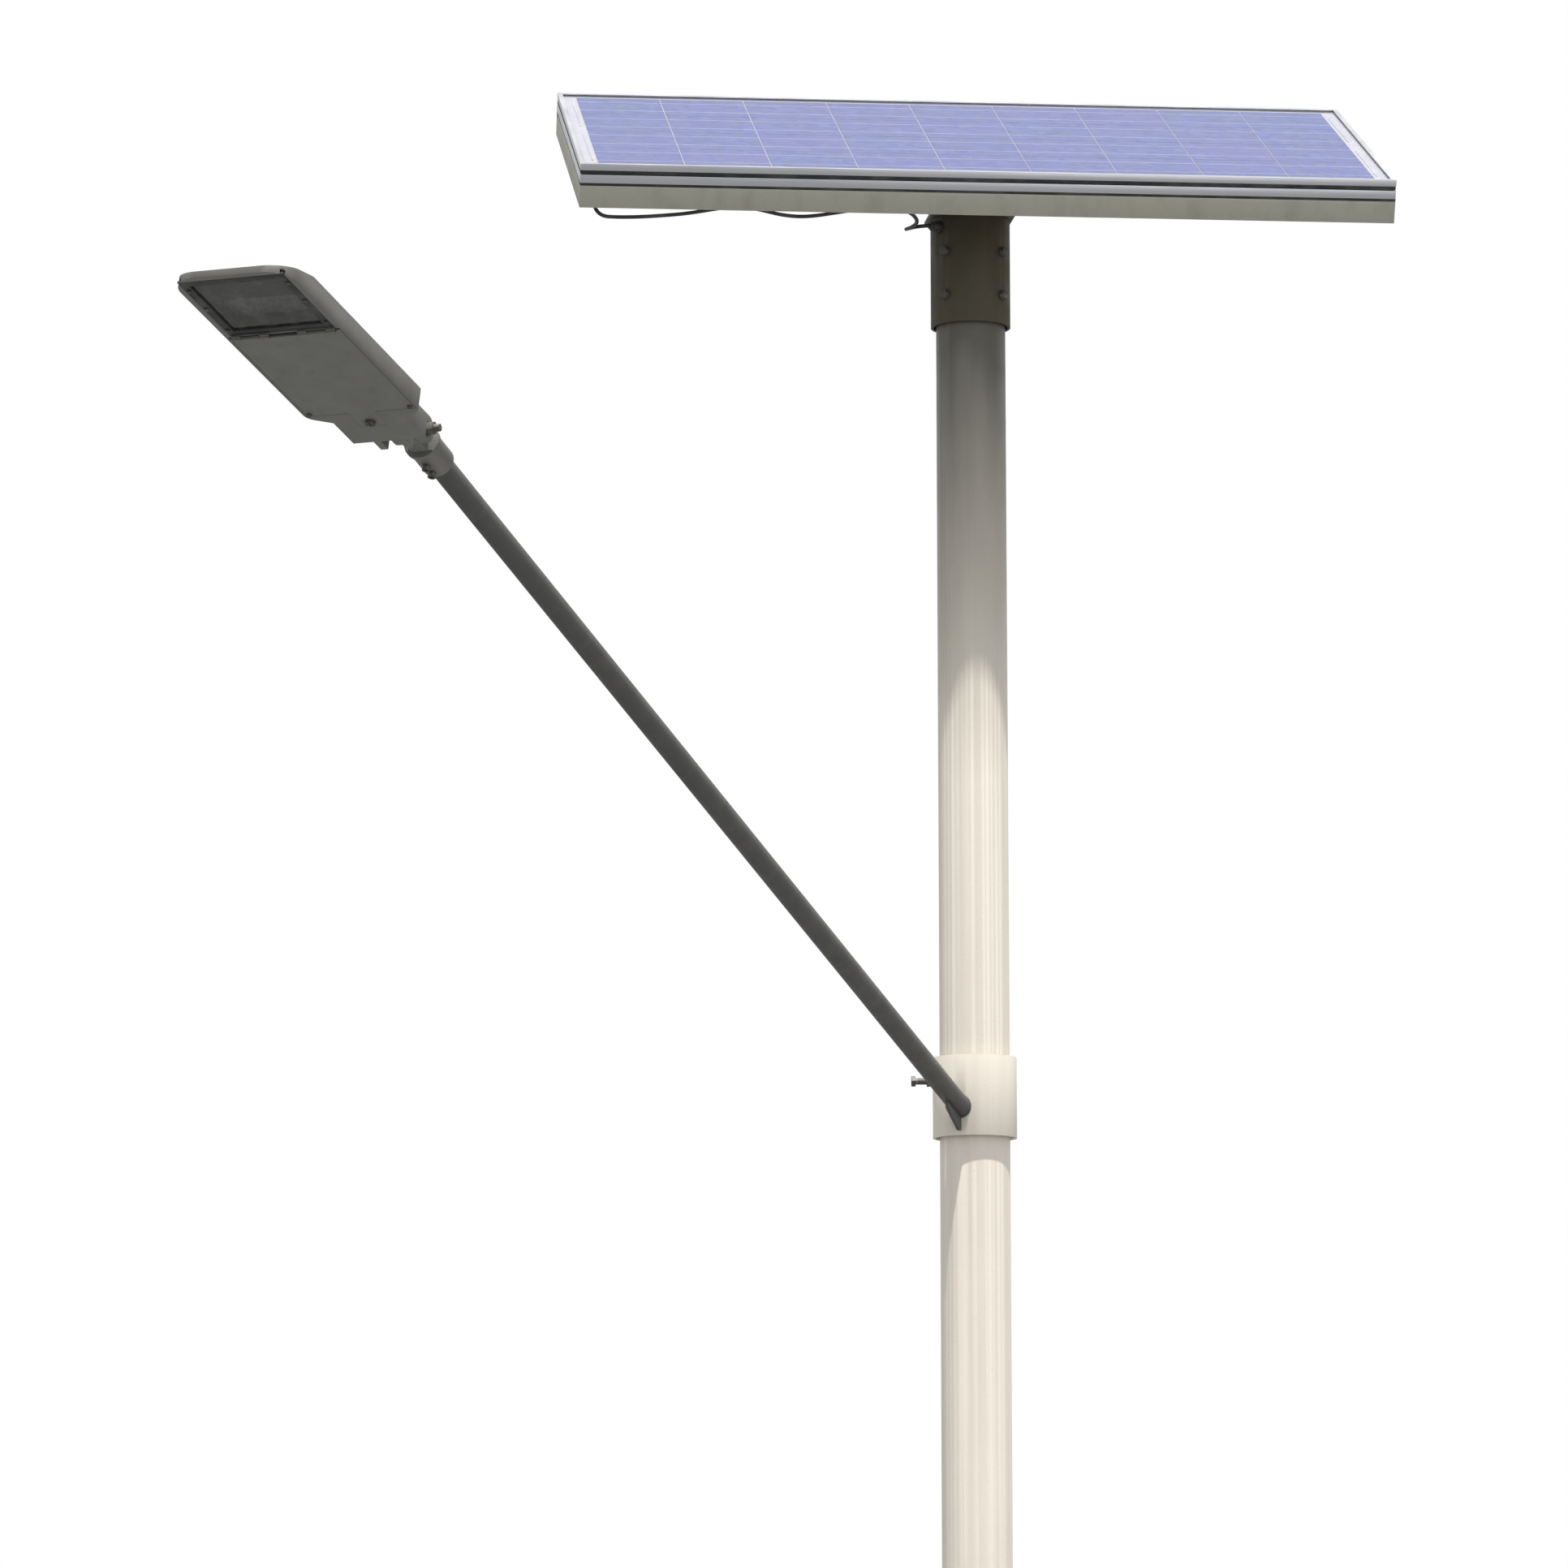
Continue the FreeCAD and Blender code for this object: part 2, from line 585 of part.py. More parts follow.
def makeDoorScrews():
    """Two captive tamper-proof screws along the door's free edge."""
    screws = []
    for side in (-1, 1):
        height = "%s + (%d) * (doorTall / 2 - 30)" % (doorMiddle, side)
        across = "doorWide / 2 + 2"
        shank = rod("doorScrewShank%d" % side, "3", "17", (across, "0 - poleDiameter / 2 + 8", height), "Y")
        head = rod("doorScrewHead%d" % side, "6.5", "9", (across, "0 - poleDiameter / 2 + 5", height), "Y")
        socket = hexagon("doorScrewSocket%d" % side, "5", "3", (across, "0 - poleDiameter / 2 + 5", height),
                         "Y")
        seat = rod("doorScrewSeat%d" % side, doorSkinOuter, "40", ("0", "0", height + " - 20"))
        capped = cutAway("doorScrewCap%d" % side, head, [seat, socket])
        screws.append(fused("doorScrew%d" % side, [shank, capped]))
    finish(group("doorScrews", screws), "door_screws", worldFrame)


# arm

jackHeight = "(collarBottom + 104)"
jackAngles = (174, 54, -66)


def makeCollar():
    ring = tube("collarTube", "collarDiameter / 2", "collarDiameter / 2 - collarWall", "collarTall",
                ("0", "0", "collarBottom"))
    holes = [turnedAbout(rod("jackHole%d" % number, "6.1", "100", ("0", "0", "0"), "X"), angle, jackHeight)
             for number, angle in enumerate(jackAngles[:2])]
    wire = turnedAbout(rod("collarWireHole", wiringHole / 2, "100", ("0", "0", "0"), "X"), armAngle,
                       wireHeight)
    finish(cutAway("collar", ring, holes + [wire]), "arm_collar", worldFrame)


def makeCollarPads():
    """Three curved shoes that centre the collar on the pole."""
    pads = []
    for number, angle in enumerate(jackAngles):
        shoe = tube("shoe%d" % number, "collarDiameter / 2 - collarWall", "poleDiameter / 2 + runGap", "70",
                    ("0", "0", jackHeight + " - 35"))
        wedge = rod("shoeWedge%d" % number, "90", "70", ("0", "0", jackHeight + " - 35"), "Z", sweep="40",
                    turn=angle - 20)
        pads.append(shared("shoeCut%d" % number, shoe, wedge))
    finish(group("collarPads", pads), "collar_pads", worldFrame)


def makeJackScrews():
    """Two jack screws, each with a welded nut, that press the shoes on the pole."""
    screws = []
    for number, angle in enumerate(jackAngles[:2]):
        frame = FreeCAD.Placement(FreeCAD.Vector(0, 0, value(jackHeight)),
                                  FreeCAD.Rotation(FreeCAD.Vector(0, 0, 1), angle))
        shank = rod("jackShank%d" % number, "6", "43", ("collarDiameter / 2 - collarWall", "0", "0"), "X")
        nut = hexagon("jackNut%d" % number, "19", "12", ("collarDiameter / 2 - 1", "0", "0"), "X")
        head = hexagon("jackHead%d" % number, "18", "8", ("collarDiameter / 2 + 31", "0", "0"), "X")
        cleared = cutAway("jackCut%d" % number, nut,
                          [rod("jackRing%d" % number, "collarDiameter / 2", "40", ("0", "0", "-20"))])
        screw = fused("jack%d" % number, [shank, cleared, head])
        screw.Placement = frame
        screws.append(screw)
    finish(group("jackScrews", screws), "jack_screws", worldFrame)


def collarInArmFrame(name):
    """The collar's outer cylinder, written in the arm's own frame."""
    keep = rod(name, "collarDiameter / 2", "600", ("0", "0", "armHeight - 300"))
    return carried(keep, armFrame.inverse())


def makeArmTube():
    """The slanting arm, its root cut to the collar's round face."""
    long = tube("armLong", "armDiameter / 2", "armDiameter / 2 - armWall",
                "armReach - 50 - 40", ("40", "0", "0"), "X")
    finish(cutAway("armTube", long, [collarInArmFrame("armRootCut")]), "arm_tube", armFrame)


def makeArmGusset():
    """A welded plate under the arm's root, with its edge against the collar."""
    slope = math.tan(math.radians(value("armRise")))
    under = value("armDiameter") / 2 / math.cos(math.radians(value("armRise")))
    near = value("collarDiameter") / 2 - 1
    far = near + 66
    plate = padBody("armGussetPlate", "XZ_Plane", [[
        (near, "collarBottom + 8"),
        (near + 10, "collarBottom + 8"),
        (far, "armHeight + %.3f" % (far * slope - under - 12)),
        (far, "armHeight + %.3f" % (far * slope - under - 0.05)),
        (near, "armHeight + %.3f" % (near * slope - under - 0.05))]], "6", midplane=True)
    ring = rod("gussetCollar", "collarDiameter / 2", "collarTall", ("0", "0", "collarBottom"))
    finish(cutAway("armGusset", plate, [ring]), "arm_gusset", armPlan)


def makeArmSpigot():
    """The clamp on the arm's end: a sleeve with set screw bosses and the knuckle's tongue."""
    sleeve = rod("spigotSleeve", "26", "66", ("armReach - 102", "0", "0"), "X")
    lip = rod("spigotLip", "29", "8", ("armReach - 44", "0", "0"), "X")
    bore = rod("spigotBore", "armDiameter / 2", "52", ("armReach - 102", "0", "0"), "X")
    tongue = fused("tongueBlank", [
        rod("tongueEye", "22", "28", ("armReach", "-14", "0"), "Y"),
        box("tongueWeb", ("armReach - 40", "-14", "-18"), ("40", "28", "36"))])
    hole = rod("tongueHole", "6.3", "40", ("armReach", "-20", "0"), "Y")
    wire = rod("tongueWire", "6", "60", ("armReach - 60", "0", "-10"), "X")
    body = cutAway("spigot", fused("spigotBlank", [sleeve, lip, tongue]), [bore, hole, wire])
    finish(body, "arm_spigot", armFrame)


def makeSpigotScrews():
    """Two socket screws that lock the clamp on the arm."""
    screws = []
    for number, across in enumerate((88, 66)):
        head = rod("spigotScrewHead%d" % number, "6.5", "8", ("armReach - %d" % across, "0", "-34.5"))
        socket = hexagon("spigotScrewSocket%d" % number, "6", "4", ("armReach - %d" % across, "0", "-34.5"))
        body = cutAway("spigotScrewBody%d" % number, head, [socket])
        sleeve = rod("spigotScrewSleeve%d" % number, "26", "40", ("armReach - %d - 20" % across, "0", "0"),
                     "X")
        screws.append(cutAway("spigotScrew%d" % number, body, [sleeve]))
    finish(group("spigotScrews", screws), "spigot_screws", armFrame)


def makeLampCable():
    """The lamp's lead, held straight inside the arm."""
    reach = value("armReach")
    cable("lamp_cable", [(86, 0, 2), (160, 0, -8), (240, 0, -11), (reach - 104, 0, -11)], 8, armFrame)


# head sleeve

glandAngle = 212
glandHeight = "(sleeveTop - 22)"
glandYaw = FreeCAD.Rotation(FreeCAD.Vector(0, 0, 1), glandAngle)
setScrewHeights = ("(sleeveBottom + 133)", "(sleeveBottom + 52)")
setScrewAngles = (-135, -45, 45, 135)


def makeSleeve():
    ring = tube("sleeveTube", "sleeveDiameter / 2", "sleeveDiameter / 2 - sleeveWall",
                "sleeveTop - sleeveBottom", ("0", "0", "sleeveBottom"))
    holes = [turnedAbout(rod("setHole%d%d" % (row, number), "5.1", "100", ("0", "0", "0"), "X"), angle,
                         height)
             for row, height in enumerate(setScrewHeights) for number, angle in enumerate(setScrewAngles)]
    gland = turnedAbout(rod("sleeveGlandHole", "8.1", "100", ("0", "0", "0"), "X"), glandAngle, glandHeight)
    finish(cutAway("sleeve", ring, holes + [gland]), "top_sleeve", worldFrame)


def makeSleevePlate():
    half = ("plateLong / 2", "plateDeep / 2")
    clip = 18
    body = padBody("sleevePlate", "XY_Plane", [[
        ("0 - %s + %d" % (half[0], clip), "0 - " + half[1]), ("%s - %d" % (half[0], clip), "0 - " + half[1]),
        (half[0], "0 - %s + %d" % (half[1], clip)), (half[0], "%s - %d" % (half[1], clip)),
        ("%s - %d" % (half[0], clip), half[1]), ("0 - %s + %d" % (half[0], clip), half[1]),
        ("0 - " + half[0], "%s - %d" % (half[1], clip)),
        ("0 - " + half[0], "0 - %s + %d" % (half[1], clip))]],
        "plateThick", offset="sleeveTop")
    finish(body, "sleeve_plate", worldFrame)


def makeTiltLugs():
    """Two upright lugs on the head plate with the pivot hole and the curved tilt slot."""
    low = "sleeveTop + plateThick"
    lugs = []
    for side in (-1, 1):
        name = "lug%d" % side
        start = "lugInner" if side > 0 else "0 - lugInner - lugThick"
        plate = padBody(name + "Plate", "YZ_Plane", [[
            ("-44", low), ("62", low), ("62", "pivotHeight + 30"), ("44", "pivotHeight + 50"),
            ("16", "pivotHeight + 50"), ("-24", "pivotHeight + 24"), ("-44", "pivotHeight + 4")]],
            "lugThick", offset=start)
        pivot = rod(name + "Pivot", "pivotBolt / 2 + 0.05", "lugThick", (start, "0", "pivotHeight"), "X")
        sector = rod(name + "Sector", "slotRadius + lockBolt / 2 + runGap", "lugThick",
                     (start, "0", "pivotHeight"), "X",
                     sweep="tiltMost - tiltLeast", turn=value("tiltLeast"))
        core = rod(name + "Core", "slotRadius - lockBolt / 2 - runGap", "lugThick",
                   (start, "0", "pivotHeight"), "X")
        ends = [rod("%sEnd%d" % (name, number), "lockBolt / 2 + runGap", "lugThick",
                    (start, "slotRadius * cos(%s * 1 deg)" % angle,
                     "pivotHeight + slotRadius * sin(%s * 1 deg)" % angle), "X")
                for number, angle in enumerate(("tiltLeast", "tiltMost"))]
        slot = fused(name + "Slot", [cutAway(name + "Arc", sector, [core])] + ends)
        lugs.append(cutAway(name, plate, [pivot, slot]))
    finish(group("tiltLugs", lugs), "tilt_lugs", worldFrame)


def makeSleeveBolts():
    """Eight set bolts that grip the pole through the sleeve."""
    bolts = []
    for row, height in enumerate(setScrewHeights):
        for number, angle in enumerate(setScrewAngles):
            name = "setBolt%d%d" % (row, number)
            shank = rod(name + "Shank", "5", "sleeveDiameter / 2 + 9 - poleDiameter / 2 - runGap",
                        ("poleDiameter / 2 + runGap", "0", "0"), "X")
            head = hexagon(name + "Head", "16", "6.5", ("sleeveDiameter / 2 + 3", "0", "0"), "X")
            nut = hexagon(name + "Nut", "17", "3", ("sleeveDiameter / 2", "0", "0"), "X")
            bolt = fused(name, [shank, head, nut])
            bolt.Placement = FreeCAD.Placement(FreeCAD.Vector(0, 0, value(height)),
                                               FreeCAD.Rotation(FreeCAD.Vector(0, 0, 1), angle))
            bolts.append(bolt)
    finish(group("setBolts", bolts), "sleeve_bolts", worldFrame)


def makePivotBolt():
    outer = "lugInner + 2 * lugThick + runGap"
    shank = rod("pivotShank", "pivotBolt / 2", "2 * (%s) + 27" % outer,
                ("0 - (%s) - 4" % outer, "0", "pivotHeight"), "X")
    head = hexagon("pivotHead", "24", "10", ("0 - (%s) - 13.3" % outer, "0", "pivotHeight"), "X")
    washers = [rod("pivotWasher%d" % number, "15", "3", (start, "0", "pivotHeight"), "X")
               for number, start in enumerate(("0 - (%s) - 3.3" % outer, outer + " + 0.3"))]
    nut = hexagon("pivotNut", "24", "13", (outer + " + 3.3", "0", "pivotHeight"), "X")
    finish(fused("pivot", [shank, head, nut] + washers), "pivot_bolt", worldFrame)


def makeGland():
    """The cable gland in the sleeve's side."""
    wall = "sleeveDiameter / 2"
    pieces = [
        rod("glandThread", "8", "13", (wall + " - 8", "0", "0"), "X"),
        hexagon("glandNut", "22", "6", (wall, "0", "0"), "X"),
        rod("glandDome", "9.5", "11", (wall + " + 6", "0", "0"), "X"),
        rod("glandTip", "6.5", "5", (wall + " + 17", "0", "0"), "X"),
    ]
    ring = rod("glandRing", "sleeveDiameter / 2", "60", ("0", "0", "-30"))
    nutCut = cutAway("glandNutCut", pieces[1], [ring])
    bore = rod("glandBore", "cableThick / 2", "40", (wall + " - 10", "0", "0"), "X")
    body = cutAway("gland", fused("glandBlank", [pieces[0], nutCut, pieces[2], pieces[3]]), [bore])
    frame = FreeCAD.Placement(FreeCAD.Vector(0, 0, value(glandHeight)), glandYaw)
    finish(body, "cable_gland", frame)


# module and its under-frame, in the module's own frame

halfLong = "(panelLong / 2)"
halfDeep = "(panelDeep / 2)"
pivotDown = value("panelHeight") - value("pivotHeight")
pivotAcross = -pivotDown * math.sin(math.radians(value("panelTilt")))
pivotBelow = -pivotDown * math.cos(math.radians(value("panelTilt")))
boltInset = 18
moduleBoltSpots = [(across, side) for across in (-560, -190, 190, 560) for side in (-1, 1)]


railTop = "0 - frameTall - padThick"


def moduleBoltTools(name, radius):
    return [rod("%s%d" % (name, number), radius, "20",
                (str(across), "(%d) * (%s - %d)" % (side, halfDeep, boltInset), railTop + " - 10"))
            for number, (across, side) in enumerate(moduleBoltSpots)]


def frameSection(outer, way):
    """The frame extrusion's section: lip, glass channel, web with an outside groove, bottom flange.

    outer is the outside face and way points inwards, +1 or -1."""
    channelFloor = "0 - 7.2"
    def inward(text):
        return "%s + (%d) * (%s)" % (outer, way, text)
    return [
        (inward("0"), "0"), (inward("frameLip"), "0"), (inward("frameLip"), "0 - frameSkin"),
        (inward("frameSkin"), "0 - frameSkin"), (inward("frameSkin"), channelFloor),
        (inward("frameLip"), channelFloor), (inward("frameLip"), channelFloor + " - frameSkin"),
        (inward("4.5"), channelFloor + " - frameSkin"), (inward("4.5"), "0 - 24"),
        (inward("frameSkin"), "0 - 26"), (inward("frameSkin"), "0 - frameTall + frameSkin"),
        (inward("frameFlange"), "0 - frameTall + frameSkin"), (inward("frameFlange"), "0 - frameTall"),
        (inward("0"), "0 - frameTall"), (inward("0"), "0 - 20"), (inward("grooveDeep"), "0 - 19"),
        (inward("grooveDeep"), "0 - 13"), (inward("0"), "0 - 12")]


def mitrePrism(name, corners):
    return padBody(name, "XY_Plane", [corners], "frameTall + 10", offset="0 - frameTall - 5")


def makeModuleFrames():
    """Four frame extrusions, mitred at the corners."""
    reach = 60
    longs = []
    shorts = []
    for side in (-1, 1):
        edge = "(%d) * %s" % (side, halfDeep)
        bar = padBody("frameLong%d" % side, "YZ_Plane", [frameSection(edge, -side)], "panelLong",
                      midplane=True)
        prism = mitrePrism("mitreLong%d" % side, [
            ("0 - " + halfLong, edge), (halfLong, edge),
            ("%s - %d" % (halfLong, reach), "%s - (%d) * %d" % (edge, side, reach)),
            ("0 - %s + %d" % (halfLong, reach), "%s - (%d) * %d" % (edge, side, reach))])
        longs.append(cutAway("frameLongHoles%d" % side, shared("frameLongMitred%d" % side, bar, prism),
                             moduleBoltTools("frameBoltHole%d" % side, "4.1")))
        edge = "(%d) * %s" % (side, halfLong)
        bar = padBody("frameShort%d" % side, "XZ_Plane", [frameSection(edge, -side)], "panelDeep",
                      midplane=True)
        prism = mitrePrism("mitreShort%d" % side, [
            (edge, "0 - " + halfDeep), (edge, halfDeep),
            ("%s - (%d) * %d" % (edge, side, reach), "%s - %d" % (halfDeep, reach)),
            ("%s - (%d) * %d" % (edge, side, reach), "0 - %s + %d" % (halfDeep, reach))])
        shorts.append(shared("frameShortMitred%d" % side, bar, prism))
    finish(group("frameLongs", longs), "module_frame_sides", panelFrame)
    finish(group("frameShorts", shorts), "module_frame_ends", panelFrame)


def slab(name, inset, top, bottom):
    """A flat sheet inside the module's outline."""
    return box(name, ("0 - %s + %s" % (halfLong, inset), "0 - %s + %s" % (halfDeep, inset), bottom),
               ("panelLong - 2 * (%s)" % inset, "panelDeep - 2 * (%s)" % inset,
                "(%s) - (%s)" % (top, bottom)))


glassTop = "(0 - frameSkin - 0.6)"
glassLow = "(0 - frameSkin - 0.6 - glassThick)"
cellLow = "(0 - frameSkin - 1.2 - glassThick)"
backLow = "(0 - frameSkin - 1.8 - glassThick)"


def makeLaminate():
    """Glass, cell layer and back sheet, and the seal round their edge."""
    finish(group("glassSheet", [slab("glassBlank", "frameSkin + 1.2", glassTop, glassLow)]), "module_glass",
           panelFrame)
    finish(group("backSheet", [slab("backBlank", "frameSkin + 1.2", cellLow, backLow)]), "back_sheet",
           panelFrame)
    pitch = "(cellSide + cellGap)"
    cells = [box("cell%d_%d" % (column, row),
                 ("(%d) * %s - cellSide / 2" % (column, pitch), "(%.1f) * %s - cellSide / 2" % (row, pitch),
                  cellLow),
                 ("cellSide", "cellSide", "0.6"))
             for column in range(-4, 5) for row in (-1.5, -0.5, 0.5, 1.5)]
    finish(group("solarCells", cells), "solar_cells", panelFrame)
    ring = cutAway("sealRing", slab("sealOuter", "frameSkin", "0 - frameSkin", "0 - 7.2"),
                   [slab("sealInner", "frameLip", "0", "0 - 9"),
                    slab("sealLaminate", "frameSkin + 1.2", glassTop, backLow)])
    holes = moduleBoltTools("padBoltHole", "4.1")
    pads = []
    grooves = []
    for side in (-1, 1):
        start = "0 - " + halfDeep if side < 0 else halfDeep + " - frameFlange"
        pads.append(cutAway("railPad%d" % side,
                            box("railPadBar%d" % side, ("0 - " + halfLong, start, railTop),
                                                    ("panelLong", "frameFlange", "padThick")), holes))
        start = "0 - " + halfDeep + " + grooveDeep - grooveStrip" if side < 0 else halfDeep + " - grooveDeep"
        grooves.append(box("grooveLong%d" % side, ("0 - %s + grooveDeep" % halfLong, start, "0 - 18.5"),
                           ("panelLong - 2 * grooveDeep", "grooveStrip", "5")))
        start = "0 - " + halfLong + " + grooveDeep - grooveStrip" if side < 0 else halfLong + " - grooveDeep"
        grooves.append(box("grooveShort%d" % side, (start, "0 - %s + grooveDeep" % halfDeep, "0 - 18.5"),
                           ("grooveStrip", "panelDeep - 2 * grooveDeep", "5")))
    finish(group("moduleRubber", [ring] + pads + grooves), "module_seal", panelFrame)


def makeRails():
    """The under-frame: two long angle rails, two end angles and two cross members."""
    low = railTop + " - railLeg"
    top = railTop + " - railThick"
    for side, label in ((-1, "rail_front"), (1, "rail_rear")):
        web = box("railWeb" + label, ("0 - " + halfLong,
                  "0 - " + halfDeep if side < 0 else halfDeep + " - railThick", low),
                  ("panelLong", "railThick", "railLeg"))
        leg = box("railLegOf" + label, ("0 - " + halfLong,
                  "0 - %s + railThick" % halfDeep if side < 0 else halfDeep + " - railLeg", top),
                  ("panelLong", "railLeg - railThick", "railThick"))
        finish(cutAway("railCut" + label, fused("railOf" + label, [web, leg]),
                       moduleBoltTools("railBoltHole" + label, "4.1")), label, panelFrame)
    ends = []
    crosses = []
    webTall = "railLeg - railThick"
    webDeep = "panelDeep - 2 * railThick"
    legDeep = "panelDeep - 2 * railLeg"
    earOuter = "lugInner + 2 * lugThick + runGap"
    for side in (-1, 1):
        webAt = halfLong + " - railThick" if side > 0 else "0 - " + halfLong
        legAt = halfLong + " - railLeg" if side > 0 else "0 - " + halfLong
        web = box("endWeb%d" % side, (webAt, "0 - %s + railThick" % halfDeep, low),
                  ("railThick", webDeep, webTall))
        leg = box("endLeg%d" % side, (legAt, "0 - %s + railLeg" % halfDeep, top),
                  ("railLeg", legDeep, "railThick"))
        ends.append(fused("endRail%d" % side, [web, leg]))
        webAt = earOuter if side > 0 else "0 - (%s) - railThick" % earOuter
        legAt = earOuter if side > 0 else "0 - (%s) - railLeg" % earOuter
        web = box("crossWeb%d" % side, (webAt, "0 - %s + railThick" % halfDeep, low),
                  ("railThick", webDeep, webTall))
        leg = box("crossLeg%d" % side, (legAt, "0 - %s + railLeg" % halfDeep, top),
                  ("railLeg", legDeep, "railThick"))
        crosses.append(cutAway("crossMember%d" % side, fused("crossBlank%d" % side, [web, leg]),
                               earBoltTools("crossHole%d" % side, "5.1")))
    finish(group("endRails", ends), "end_rails", panelFrame)
    finish(group("crossMembers", crosses), "cross_members", panelFrame)


earBoltSpots = ((pivotAcross - 12, -62), (pivotAcross + 48, -62))


def earBoltTools(name, radius):
    return [rod("%s_%d" % (name, number), radius, "300", ("-150", str(across), str(up)), "X")
            for number, (across, up) in enumerate(earBoltSpots)]


def makeTiltEars():
    """Two ears on the cross members that hang beside the lugs and carry the pivot."""
    ears = []
    for side in (-1, 1):
        name = "ear%d" % side
        start = "lugInner + lugThick + runGap" if side > 0 else "0 - lugInner - 2 * lugThick - runGap"
        plate = box(name + "Plate", (start, str(pivotAcross - 24), str(pivotBelow - 14)),
                    ("lugThick", "86", "%.4f - frameTall - padThick - 6" % (14 - pivotBelow)))
        eye = rod(name + "Eye", "24", "lugThick", (start, str(pivotAcross), str(pivotBelow)), "X")
        holes = [rod(name + "Pivot", "pivotBolt / 2 + runGap", "lugThick",
                     (start, str(pivotAcross), str(pivotBelow)), "X"),
                 rod(name + "Lock", "lockBolt / 2 + 0.1", "lugThick",
                     (start, "%.4f + slotRadius" % pivotAcross, str(pivotBelow)), "X")]
        ears.append(cutAway(name, fused(name + "Blank", [plate, eye]),
                            holes + earBoltTools(name + "Hole", "5.1")))
    finish(group("tiltEars", ears), "tilt_ears", panelFrame)


def makeTiltBolts():
    """Bolts of one kind: four through ears and cross members, two through the tilt slots."""
    bolts = []
    earInner = "lugInner + lugThick + runGap"
    for side in (-1, 1):
        for number, (across, up) in enumerate(earBoltSpots):
            grip = "lugThick + railThick"
            start = earInner if side > 0 else "0 - (%s) - (%s)" % (earInner, grip)
            bolts.append(headedBolt("earBolt%d_%d" % (side, number), "lockBolt",
                                    (start, str(across), str(up)),
                                    grip, "16", "6.4", "8", "X", headFirst=side > 0))
        grip = "2 * lugThick + 2 * runGap"
        start = "lugInner - runGap" if side > 0 else "0 - lugInner - 2 * lugThick - runGap"
        bolts.append(headedBolt("lockBolt%d" % side, "lockBolt",
                                (start, "%.4f + slotRadius" % pivotAcross, str(pivotBelow)),
                                grip, "16", "6.4", "8", "X", headFirst=side < 0))
    finish(group("tiltBolts", bolts), "tilt_bolts", panelFrame)


def makeModuleBolts():
    bolts = []
    for number, (across, side) in enumerate(moduleBoltSpots):
        start = (str(across), "(%d) * (%s - %d)" % (side, halfDeep, boltInset), railTop + " - railThick")
        bolts.append(headedBolt("moduleBolt%d" % number, "8", start, "railThick + padThick + frameSkin", "13",
                                "5.3", "6.5", "Z",
                                headFirst=False))
    finish(group("moduleBolts", bolts), "module_bolts", panelFrame)


boxAt = (-640, -205)


def makeJunctionBox():
    """The module's junction box under the back sheet, its lid and lid screws."""
    across, up = boxAt
    case = padBody("junctionCase", "XY_Plane", [rectangle(across - 55, up - 42, across + 55, up + 42)], "20",
                   offset=backLow + " - 20")
    roundEdges(case, "junctionCorners", "8", isUpright)
    holes = [rod("junctionScrewHole%d%d" % (i, j), "1.6", "8",
                 (across + i * 46, up + j * 33, backLow + " - 20"))
             for i in (-1, 1) for j in (-1, 1)]
    cavity = box("junctionCavity", (str(across - 38), str(up - 34), backLow + " - 20"), ("76", "68", "16"))
    outlet = rod("junctionOutlet", "cableThick / 2", "30", (across, up - 60, backLow + " - 11"), "Y")
    finish(cutAway("junction", case, [cavity, outlet] + holes), "junction_box", panelFrame)
    lid = padBody("junctionLidPlate", "XY_Plane", [rectangle(across - 55, up - 42, across + 55, up + 42)],
                  "3",
                  offset=backLow + " - 23")
    roundEdges(lid, "lidCorners", "8", isUpright)
    sinks = [rod("lidScrewHole%d%d" % (i, j), "1.6", "8", (across + i * 46, up + j * 33, backLow + " - 25"))
             for i in (-1, 1) for j in (-1, 1)]
    finish(cutAway("junctionLid", lid, sinks), "junction_lid", panelFrame)
    screws = [fused("lidScrew%d%d" % (i, j), [
        rod("lidScrewShank%d%d" % (i, j), "1.6", "9", (across + i * 46, up + j * 33, backLow + " - 23")),
        rod("lidScrewTop%d%d" % (i, j), "3.2", "2", (across + i * 46, up + j * 33, backLow + " - 25"))])
        for i in (-1, 1) for j in (-1, 1)]
    finish(group("lidScrews", screws), "junction_screws", panelFrame)


clipSpots = (-457, -226)
clipAcross = -322.5


def makeCableClips():
    """Clips that hold the module cable inside the front rail's lower edge."""
    clips = []
    for number, along in enumerate(clipSpots):
        ring = tube("clipRing%d" % number, "cableThick / 2 + 1.8", "cableThick / 2 + 0.3", "12",
                    (str(along - 6), str(clipAcross), "-75.4"), "X")
        foot = box("clipFoot%d" % number, (str(along - 6), "0 - %s + railThick" % halfDeep, "-77"),
                   ("12", "%.2f + %s - railThick - cableThick / 2 - 0.8" % (clipAcross, halfDeep), "3"))
        clips.append(fused("clip%d" % number, [ring, foot]))
    finish(group("cableClips", clips), "cable_clips", panelFrame)


cableRoute = [
    (-640, -247, -17.8), (-641, -265, -19), (-644, -281, -28), (-655, -289, -44), (-678, -297, -50.5),
    (-698, -304, -51), (-712, -311, -64), (-712, -317, -84), (-698, -321, -98), (-672, -322, -99),
    (-632, -322, -98), (-585, -323, -94), (-542, -322, -89.5), (-500, -322.5, -81.5), (-457, -322.5, -74),
    (-415, -322.5, -79.5), (-372, -322, -90), (-328, -323, -92), (-270, -322.5, -82), (-226, -322.5, -74)]
cableEnd = (-198, -322.5, -72)


def makeModuleCable():
    """The module's cable from the junction box along the front rail, sagging between clips."""
    cable("module_cable", cableRoute + [cableEnd], value("cableThick"), panelFrame)


